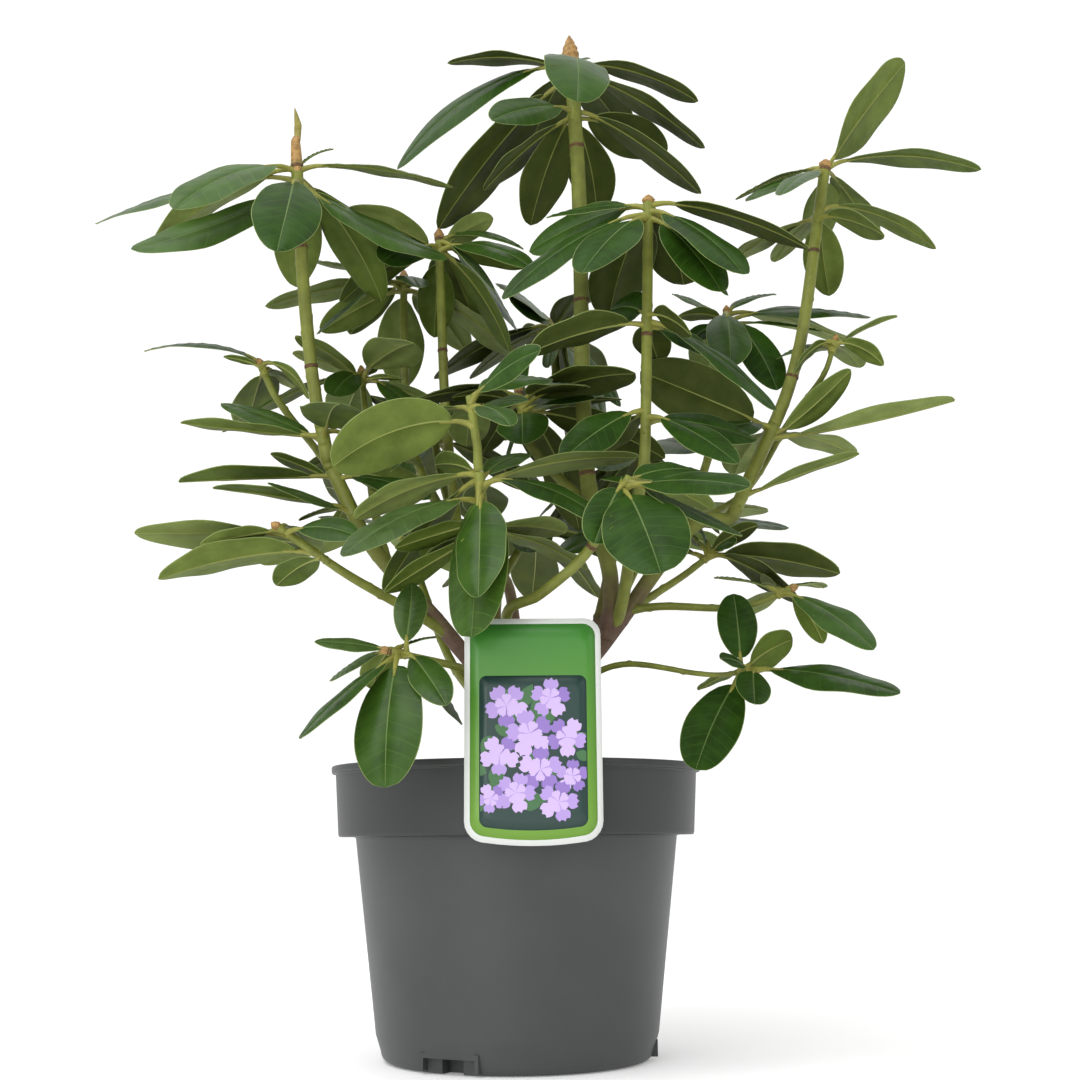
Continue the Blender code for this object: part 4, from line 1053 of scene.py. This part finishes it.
def scarred_bark():
    """The band of old bud scars on a stem: thin brown cork."""
    return mottled("scarred_bark", 0.75, 1.42, "#6E5233", "#4F3A26", 500.0, (900.0, 0.0003), (0.4, 0.6))


def pot_plastic():
    """Moulded recycled polypropylene: dark grey and matte with a fine mould grain. The collar is darker as
    painted shade from the crown above it.
    """
    looks = {"Roughness": 0.45, "IOR": 1.46, "Specular_IOR_Level": 0.4}
    material, tree, shader, place = new_finish("moulded_polypropylene", **looks)
    body = mottle(tree, shader, place, "#454747", "#404242", 14.0)
    height = add_node(tree, "SeparateXYZ", {"Vector": place}).outputs["Z"]
    # Painted shade: above this level the collar takes a darker grey, for the crown's shade on it
    share = add_node(tree, "MapRange", {"Value": height, "From Min": 0.132, "From Max": 0.135})
    tones = {"Factor": share.outputs["Result"], 6: body, 7: srgb("#353737")}
    tone = add_node(tree, "Mix", tones, data_type="RGBA").outputs[2]
    tree.links.new(tone, shader.inputs["Base Color"])
    grain(tree, shader, place, 1500.0, 0.00008, 0.5)
    return material


def compost():
    """Moist peat and composted bark: dark brown crumbs with paler fibre."""
    crumb = (500.0, 0.0015, 0.9)
    return mottled("peat_compost", 0.95, 1.35, "#3A2B20", "#1F1712", 220.0, crumb, (0.4, 0.6))


def bark_chip():
    """A chip of composted bark: reddish brown and dry."""
    return mottled("bark_chip", 0.9, 1.4, "#6B4A33", "#3E2A1D", 300.0, spread=(0.4, 0.6))


def printed(name, top, foot=None, roughness=0.35):
    """Ink on a coated plastic card: an even satin colour, or one that fades from top to foot."""
    material, tree, shader, place = new_finish(name, Base_Color=srgb(top), Roughness=roughness, IOR=1.5)
    if foot:
        height = add_node(tree, "SeparateXYZ", {"Vector": place}).outputs["Z"]
        fall = {"Value": height, "From Min": LABEL_TOP * MM, "From Max": LABEL_BOTTOM * MM}
        share = add_node(tree, "MapRange", fall).outputs["Result"]
        tones = {"Factor": share, 6: srgb(top), 7: srgb(foot)}
        tone = add_node(tree, "Mix", tones, data_type="RGBA").outputs[2]
        tree.links.new(tone, shader.inputs["Base Color"])
    return material


# The plant

SLOTS = {"pot": "pot_plastic", "plant_label": "label_card"}
FINE_STEP = 5.0
# Whorls whose upper sides mostly take the darkest upper tone as painted shade, inside and under the crown,
# and those whose undersides take the darkest underside tone as painted shade, where they lie in the crown's
# shade
PAINTED_SHADE_UPPERS = {"front_right", "inner_right", "core", "front_low_right"}
SHADED = {
    "centre_tip", "inner_right", "core", "rear_centre", "rear_left", "rear_right", "rear_low", "right_mid",
}
# Single leaves whose undersides also take the darkest underside tone as painted shade
SHADED_LEAVES = {("right_fork", 1), ("left_fork", 6)}
# Levels at which a bough carries a ring of bud scars
NODE_RINGS = {
    "centre_tip": (370, 490, 600), "inner_right": (351, 384), "inner_left": (467,), "left_tip": (440, 520),
    "right_tip": (440, 530), "left_back": (410,), "left_rear": (470,), "right_back": (440,),
    "left_knee": (386,), "front_right": (300,), "front_tip": (350,), "rear_centre": (440,), "core": (380,),
    "right_fork": (360,),
}
RING_MARGIN = 4.0
RING_BELOW = 6.0
BUD_RING_BELOW = 2.0
WOODY = {
    "trunk", "left_fork", "centre_tip", "right_fork", "front_fork", "rear_left", "rear_right", "rear_low",
    "core",
}
TRUNK_SINK = 1.5
BOUGH_LAP = 2.0
THICK_LIMB = 3.3
ROUGH_BARK = 0.035
SMOOTH_BARK = 0.022
# Levels, and the share of its solid's radius that a limb keeps at each
SLIMMED = {"trunk": ((200, 245), (1.0, 0.8)), "right_fork": ((235, 330), (0.72, 1.0))}


def build_limbs():
    """The trunk and each bough as one stem on the same smooth line as its solid, run on into the whorl that
    it bears. The trunk's top and the right bough's foot are slimmer than their solids."""
    woody, green, cork = woody_stem(), green_stem(), scarred_bark()
    lines, radii = plan_boughs(FINE_STEP)
    for seed, (name, line) in enumerate(lines.items()):
        reach = radii[name]
        if name == "trunk":
            line[0, 2] -= TRUNK_SINK
        else:
            last = line[-1] + unit(line[-1] - line[-2]) * BOUGH_LAP
            line = np.concatenate((line, [last]))
            reach = np.concatenate((reach, reach[-1:]))
        if name in SLIMMED:
            reach = reach * np.interp(line[:, 2], *SLIMMED[name])
        sides = 18 if reach[0] > THICK_LIMB else 12
        skins = [stem_skin(line, reach, seed, sides, True, ROUGH_BARK if name in WOODY else SMOOTH_BARK)]
        for level in NODE_RINGS.get(name, ()):
            if line[0, 2] + RING_MARGIN < level < line[-1, 2] - RING_MARGIN:
                place = np.interp(level, line[:, 2], travelled(line))
                skins.append(in_slot(node_ring(line, reach, place), 1))
        node = "trunk" if name == "trunk" else name + "_bough"
        make_piece(name + "_limb", skins, [woody if name in WOODY else green, cork], node)


def build_whorls():
    """Each whorl as two pieces: its blades, and its stem with petioles and bud."""
    finishes = leaf_finishes()
    twig = [green_stem(), leaf_stalk(), bud_scale(), young_leaf(), scarred_bark()]
    lines, radii = plan_boughs(BOUGH_STEP)
    for seed, (name, leaves) in enumerate(place_leaves(lines, radii).items()):
        shoot = SHOOTS[name]
        draw = random.Random(1000 + seed)
        node = name + "_leaves"
        blades = []
        for i, form in enumerate(leaves):
            # Painted shade: a leaf whose underside lies in the crown's shade gets the darkest underside
            # tone
            deep = name in SHADED or (name, i) in SHADED_LEAVES
            # Painted shade: the whorls inside and under the crown mostly take the darkest upper tone
            upper = draw.choices(range(UPPERS), (1, 9, 0, 0) if name in PAINTED_SHADE_UPPERS else (5, 3, 3, 2))[0]
            under = UNDERS - 1 if deep else draw.choices(range(UNDERS), (4, 3, 2, 0))[0]
            blades.append(leaf_skin(form, draw, upper, under))
        make_piece(name + "_blades", blades, finishes, node)
        foot, top, up = whorl_stem(shoot)
        length = np.linalg.norm(top - foot)
        radius = shoot.radii[1]
        line = foot + (top - foot) * np.linspace(-0.02, 1, 8)[:, None]
        skins = [stem_skin(line, np.full(8, radius), 500 + seed, 14, bool(shoot.older), 0.02)]
        places = [length - whorl_half(shoot) - drop - RING_BELOW for drop in shoot.older]
        if shoot.bud > SMALL_BUD:
            places.append(length - BUD_RING_BELOW)
        for place in places:
            if BUD_RING_BELOW < place < length:
                skins.append(in_slot(node_ring(line, np.full(8, radius), place), 4))
        skins += [in_slot(petiole_skin(form), 1) for form in leaves]
        if shoot.bud:
            skins.append(in_slot(bud_skin(top, up, radius, shoot.bud), 2))
        make_piece(name + "_twig", skins, twig, node)


# The pot and what is in it

POT_SIDES = 180
SOIL_SIDES = 96
SOIL_ROWS = 26
CRUMBS = 520
CHIP_EVERY = 9
CRUMB_REACH = 106.0
SOIL_WAVE = 0.88


def pot_section():
    """The pot's section, from the middle of the floor inside, over the lip and down the outside."""
    collar_top, collar_foot = COLLAR_RADIUS
    body_top, body_foot = BODY_RADIUS
    step = COLLAR_BOTTOM + 2.5
    under_lip = POT_HEIGHT - LIP_DEPTH
    rounds = np.radians(np.linspace(0, 90, 8))
    corner = FOOT_ROUND * np.stack((np.cos(rounds) - 1, 1 - np.sin(rounds)), 1) + (FOOT_RADIUS, 0)
    body = np.linspace((body_top, COLLAR_BOTTOM - 1.0), (body_foot, FOOT_ROUND + 10.0), 24)
    wall = np.linspace((collar_top, under_lip - 1.6), (collar_foot, COLLAR_BOTTOM + 2.0), 24)
    inside = (
        (30.0, FLOOR), (FOOT_RADIUS - WALL - 1.0, FLOOR), (body_foot - WALL - 1.6, FLOOR + 6.0),
        (body_top - WALL, step - 4.0), (collar_foot - WALL, step + 1.5),
        (collar_top - WALL, POT_HEIGHT - 3.0), (LIP_RADIUS - WALL - 3.2, POT_HEIGHT - 0.6),
    )
    lip = (
        (LIP_RADIUS - WALL - 2.4, POT_HEIGHT), (LIP_RADIUS - 1.0, POT_HEIGHT),
        (LIP_RADIUS - 0.3, POT_HEIGHT - 0.3), (LIP_RADIUS, POT_HEIGHT - 1.0),
        (LIP_RADIUS - 0.1, under_lip + 0.7), (LIP_RADIUS - 0.6, under_lip),
        (collar_top + 0.5, under_lip - 0.3), (collar_top, under_lip - 1.0),
    )
    bead = (
        (collar_foot - 0.1, COLLAR_BOTTOM + 1.2), (collar_foot - 0.5, COLLAR_BOTTOM + 0.35),
        (collar_foot - 1.3, COLLAR_BOTTOM), (body_top + 1.4, COLLAR_BOTTOM - 0.1),
        (body_top + 0.3, COLLAR_BOTTOM - 0.4),
    )
    return np.concatenate((inside, lip, wall, bead, body, corner, ((40.0, 0.0),)))


def notch_boxes(inner, outer, half, low, high):
    """A box at each drain notch, between two distances from the pot's middle and two levels."""
    ring = np.array(((inner, -half), (outer, -half), (outer, half), (inner, half)))
    skins = []
    for heading in NOTCH_HEADINGS:
        c, s = math.cos(math.radians(heading)), math.sin(math.radians(heading))
        turned = ring @ np.array(((c, s), (-s, c)))
        skins.append(shell(np.stack([np.column_stack((turned, np.full(4, z))) for z in (low, high)])))
    return skins


def combine(target, skins, operation):
    """Joins skins to an object or cuts them from it, for good."""
    other = make_piece("cutter", skins, [], flat=True)
    change = target.modifiers.new("shape", "BOOLEAN")
    change.operation = operation
    change.object = other
    change.solver = "EXACT"
    graph = bpy.context.evaluated_depsgraph_get()
    mesh = bpy.data.meshes.new_from_object(target.evaluated_get(graph))
    target.modifiers.clear()
    target.data = mesh
    bpy.data.objects.remove(other)


def build_pot():
    """The turned pot. Its floor rises in a hood over each drain notch, and the notch is cut from below."""
    section = pot_section()
    rings = turned_rings(section[:, 0], section[:, 1], POT_SIDES)
    pot = make_piece("pot_shell", [shell(rings)], [pot_plastic()], "pot")
    inner = FOOT_RADIUS - HOOD_DEPTH
    past = FOOT_RADIUS + 20.0
    half = NOTCH_WIDTH / 2
    roof = NOTCH_HEIGHT + HOOD_ROOF
    combine(pot, notch_boxes(inner, FOOT_RADIUS + 0.5, half + WALL, FLOOR - 1.0, roof), "UNION")
    combine(pot, notch_boxes(FOOT_RADIUS - 4.5, past, half, -5.0, NOTCH_HEIGHT), "DIFFERENCE")
    channel = notch_boxes(inner + WALL, past, CHANNEL_WIDTH / 2, -5.0, NOTCH_HEIGHT - 0.4)
    combine(pot, channel, "DIFFERENCE")
    pot.data.shade_smooth()
    pot.data.set_sharp_from_angle(angle=math.radians(32))


def soil_plug():
    """The plug that fills the pot, its top a sum of low waves."""
    inset = WALL + 0.8
    foot = COLLAR_RADIUS[1] - inset
    body_top, body_foot = BODY_RADIUS
    sides = (foot, body_top - inset - 0.6, body_foot - inset - 2.4, FOOT_RADIUS - HOOD_DEPTH - 2.0)
    radii = np.concatenate((np.linspace(4, foot + 0.2, SOIL_ROWS), sides))
    levels = (COLLAR_BOTTOM + 6.5, COLLAR_BOTTOM, FLOOR + 12.8, FLOOR + 12.6)
    rings = turned_rings(radii, np.concatenate((np.full(SOIL_ROWS, SOIL_TOP - 0.8), levels)), SOIL_SIDES)
    x, y = rings[:SOIL_ROWS, :, 0], rings[:SOIL_ROWS, :, 1]
    for k, a, b in ((1, 0.3, 1.2), (2, 2.0, 0.4), (4, 1.0, 3.0), (7, 0.2, 2.2)):
        rings[:SOIL_ROWS, :, 2] += SOIL_WAVE / k * np.sin(x * 0.055 * k + a) * np.sin(y * 0.06 * k + b)
    rings[:SOIL_ROWS, :, 2] -= 0.3
    return shell(rings)


def build_soil():
    """The compost: an uneven plug that fills the pot, with loose crumbs and bark chips on it."""
    draw = np.random.default_rng(5)
    across = np.array(((0.55, 0.5), (0.55, -0.5), (-0.6, -0.45), (-0.5, 0.6)))
    lump = [np.column_stack((across * w, np.full(4, z))) for w, z in ((1.0, -0.5), (1.2, 0.1), (0.7, 0.6))]
    crumbs = []
    for i in range(CRUMBS):
        chip = i % CHIP_EVERY == 0
        radius = CRUMB_REACH * math.sqrt(draw.random())
        angle = draw.random() * 2 * math.pi
        size = draw.uniform(0.8, 2.2) * (1.6 if chip else 1)
        spin, _ = np.linalg.qr(draw.normal(size=(3, 3)))
        rings = np.stack(lump) * (np.array((1, 0.7, 0.22 if chip else 0.45)) * size) @ spin.T
        place = (radius * math.cos(angle), radius * math.sin(angle), SOIL_TOP + 0.2)
        crumbs.append(in_slot(shell(rings + place), int(chip)))
    make_piece("soil_plug", [soil_plug()], [compost()], "potting_soil")
    make_piece("soil_crumbs", crumbs, [compost(), bark_chip()], "potting_soil", flat=True)


# The label

FIELD_INSET = 3.2
FIELD_FRONT = 0.3
PANEL_FRONT = 0.36
PANEL_WIDTH = 61.0
PANEL_TOP = LABEL_TOP - 33.0
PANEL_FOOT = LABEL_BOTTOM + 11.0
PRINT_LOW = (-30, LABEL_BOTTOM + 10.5)
PRINT_HIGH = (30, LABEL_TOP - 34)
CURL = 0.0035
CURL_START = LABEL_TOP - 16
PRINTED_LEAVES = 26
PETALS = 5
# Flowers on the label: across, level, size
FLORETS = (
    (-15, 212, 12), (10, 216, 11), (-2, 196, 13), (19, 194, 11), (-19, 184, 11), (4, 176, 12), (22, 172, 9),
    (-10, 163, 11), (14, 158, 11), (-24, 160, 8),
)


def rounded(width, top, foot, corner, bow, steps=6):
    """The outline of a card in its own plane, from the top right corner round to the left: rounded corners,
    and a foot that bows down in the middle."""
    half = width / 2
    inner = half - corner
    quarter = np.radians(np.linspace(0, 90, steps))
    arcs = []
    low, high = foot + corner, top - corner
    for i, (side, level) in enumerate(((1, high), (-1, high), (-1, low), (1, low))):
        a = quarter + math.radians(90 * i)
        arcs.append(np.stack((side * inner + corner * np.cos(a), level + corner * np.sin(a)), 1))
    across = np.linspace(-inner, inner, 12)[1:-1]
    base = np.stack((across, np.full(10, foot)), 1)
    head = np.stack((across[::-1], np.full(10, top)), 1)
    outline = np.concatenate((arcs[0], head, arcs[1], arcs[2], base, arcs[3]))
    outline[:, 1] -= bow * (1 - (outline[:, 0] / half) ** 2) * (outline[:, 1] < (top + foot) / 2)
    return outline


def card_place(flat):
    """Puts points of the card's plane, (across, depth forward, level), where the card stands: it leans, and
    curves back a little towards its top edge."""
    across, depth, level = flat[..., 0], flat[..., 1], flat[..., 2]
    front = -LIP_RADIUS - GAP_MM - LABEL_THICK
    lean = (level - POT_HEIGHT) * math.tan(math.radians(LABEL_LEAN))
    curl = CURL * np.maximum(0, level - CURL_START) ** 2
    return np.stack((across + LABEL_X, front + lean + curl - depth, level), -1)


def card_plate(outline, back, front, scales=(0.3, 0.6, 0.85, 1.0)):
    """A thin plate with an outline: shrunken copies of it step out to the edge behind, and in in front."""
    centre = outline.mean(0)
    out = [centre + (outline - centre) * s for s in scales]
    rows = [(ring, back) for ring in out] + [(ring, front) for ring in out[::-1]]
    rings = np.stack([np.insert(ring, 1, depth, axis=1) for ring, depth in rows])
    ends = [card_place(np.array((centre[0], depth, centre[1]))) for depth in (back, front)]
    return shell(card_place(rings), 0, *ends)


def petal_outline(x, z, size, heading, wide, ripple):
    """A petal or leaf that starts at a flower's middle: blunt with a ruffled edge, or a pointed oval."""
    t = np.sin(np.linspace(0, np.pi / 2, 14))
    half = wide * np.sin(np.pi * t ** (2.4 if ripple else 0.8)) ** (0.5 if ripple else 1.0)
    along = np.concatenate((t, t[-2:0:-1]))
    across = np.concatenate((half, -half[-2:0:-1]))
    along = along * (1 + ripple * np.cos(9 * across / wide))
    c, s = math.cos(math.radians(heading)), math.sin(math.radians(heading))
    return np.array((x, z)) + size * np.stack((along * c - across * s, along * s + across * c), 1)


def label_tongue():
    """The tongue behind the card: a strip that runs over the lip and down inside the pot."""
    path = ((-1.0, 1.0), (4.0, 1.1), (7.5, 0.9), (8.6, -0.6), (8.8, -TONGUE_DROP))
    inwards = ((0, -1.0), (0, -1.0), (-0.5, -0.86), (-1.0, -0.2), (-1.0, 0))
    low, high = LABEL_X - TONGUE_WIDTH / 2, LABEL_X + TONGUE_WIDTH / 2
    rings = []
    for (y, z), way in zip(path, inwards):
        outer = np.array((y - LIP_RADIUS, z + POT_HEIGHT))
        inner = outer - 0.7 * np.array(way)
        rings.append([(low, *outer), (high, *outer), (high, *inner), (low, *inner)])
    return shell(np.array(rings))


def label_flowers():
    """Printed leaves, then flowers of five large and five small petals, each just in front of the last."""
    draw = random.Random(8)
    skins = []
    for i in range(PRINTED_LEAVES):
        x, z = draw.uniform(-27, 27), draw.uniform(LABEL_BOTTOM + 14, LABEL_TOP - 38)
        outline = petal_outline(x, z, draw.uniform(9, 15), draw.uniform(0, 360), 0.3, 0.0)
        plate = card_plate(np.clip(outline, PRINT_LOW, PRINT_HIGH), PANEL_FRONT, 0.39 + 0.001 * i, (1.0,))
        skins.append(plate)
    front = PANEL_FRONT + 0.08
    for x, z, size in FLORETS:
        first = draw.uniform(0, 72)
        for k in range(2 * PETALS):
            large = k < PETALS
            heading = first + 72 * k + (0 if large else 36)
            outline = petal_outline(x, z - 5, size * (1.0 if large else 0.55), heading, 0.4, 0.07)
            tone = 3 - draw.choice((0, 1, 1, 2)) if large else 1
            front += 0.002
            plate = card_plate(np.clip(outline, PRINT_LOW, PRINT_HIGH), 0.39, front, (1.0,))
            skins.append(in_slot(plate, tone))
    return skins


def build_label():
    """A coated card with a green field and a picture panel of loose ruffled flowers over leaves."""
    white = printed("white_card", "#DDE0DC", None, 0.3)
    field = printed("green_print", "#357A2C", "#6E9A30")
    teal = printed("dark_print", "#1E3A34")
    inks = [printed("leaf_print", "#3D6B3F"), printed("lilac_print_light", "#C9B1E2")]
    inks += [printed("lilac_print", "#AE94D4"), printed("lilac_print_deep", "#8D72BC")]
    card = rounded(LABEL_WIDTH, LABEL_TOP, LABEL_BOTTOM + 4, LABEL_CORNER, 4.0)
    make_piece("label_card_body", [card_plate(card, -LABEL_THICK, 0.0)], [white], "plant_label")
    make_piece("label_tongue", [label_tongue()], [white], "plant_label", flat=True)
    green = rounded(
        LABEL_WIDTH - 2 * FIELD_INSET, LABEL_TOP - FIELD_INSET, LABEL_BOTTOM + 7, LABEL_CORNER - 2.5, 3.8
    )
    make_piece("label_field", [card_plate(green, 0.02, FIELD_FRONT)], [field], "plant_label")
    panel = rounded(PANEL_WIDTH, PANEL_TOP, PANEL_FOOT, 4.0, 2.5)
    make_piece("label_panel", [card_plate(panel, FIELD_FRONT, PANEL_FRONT)], [teal], "plant_label")
    make_piece("label_flowers", label_flowers(), inks, "plant_label", flat=True)


# Camera, floor and light

CAMERA_PLACE = (0.0163, -1.030, 0.1316)
CAMERA_PITCH = 10.6
CAMERA_ROLL = 0.00823
FOCAL_PIXELS = 1604.6
IMAGE_WIDTH = 1080
SENSOR_MM = 36.0
LIGHT_TARGET = (0, 0, 0.4)
# Name, place, size in metres and power in watts
LIGHTS = (
    ("key", (-0.8, -0.9, 2.2), 1.4, 22.0),
    ("front", (-0.9, -2.2, 0.6), 1.6, 22.0),
    ("fill", (1.6, -1.2, 1.2), 1.0, 3.0),
)


def build_stage():
    """A pale floor, a white sky that is weaker low and in front, and three soft lights."""
    bpy.ops.mesh.primitive_plane_add(size=30)
    floor = bpy.context.object
    floor.name = "floor"
    floor.location.z = -0.0003
    white = srgb("#FFFFFF")
    glow = {"Emission_Color": white, "Emission_Strength": 0.16}
    paint = new_finish("floor_paint", Base_Color=srgb("#FBFBFB"), Roughness=0.9, **glow)[0]
    floor.data.materials.append(paint)
    world = bpy.data.worlds.new("white_sky")
    bpy.context.scene.world = world
    world.use_nodes = True
    tree = world.node_tree
    way = add_node(tree, "SeparateXYZ", {"Vector": add_node(tree, "TexCoord").outputs["Generated"]}).outputs
    level = add_node(tree, "Math", {0: way["Z"], 1: 0.8, 2: way["Y"]}, operation="MULTIPLY_ADD").outputs[0]
    span = {"Value": level, "From Min": -0.6, "From Max": 1.0, "To Min": 0.42, "To Max": 1.1}
    strength = add_node(tree, "MapRange", span).outputs["Result"]
    tree.links.new(strength, tree.nodes["Background"].inputs["Strength"])
    tree.nodes["Background"].inputs["Color"].default_value = white
    for name, place, size, power in LIGHTS:
        lamp = bpy.data.lights.new(name, "AREA")
        lamp.size = size
        lamp.energy = power
        light = bpy.data.objects.new(name, lamp)
        bpy.context.scene.collection.objects.link(light)
        light.location = place
        x, y, z = np.array(LIGHT_TARGET) - place
        light.rotation_euler = (math.atan2(math.hypot(x, y), -z), 0, math.atan2(x, -y) + math.pi)
    bpy.context.scene.view_settings.view_transform = "Standard"


def build_camera():
    """Looks a little up from in front, level with the pot's collar."""
    data = bpy.data.cameras.new("camera")
    data.sensor_width = SENSOR_MM
    data.lens = FOCAL_PIXELS / IMAGE_WIDTH * SENSOR_MM
    camera = bpy.data.objects.new("camera", data)
    bpy.context.scene.collection.objects.link(camera)
    camera.location = CAMERA_PLACE
    turn = Matrix.Rotation(math.radians(90 + CAMERA_PITCH), 4, "X") @ Matrix.Rotation(-CAMERA_ROLL, 4, "Z")
    camera.rotation_euler = turn.to_euler()
    bpy.context.scene.camera = camera


build_stage()
build_camera()
build_limbs()
build_whorls()
build_pot()
build_soil()
build_label()
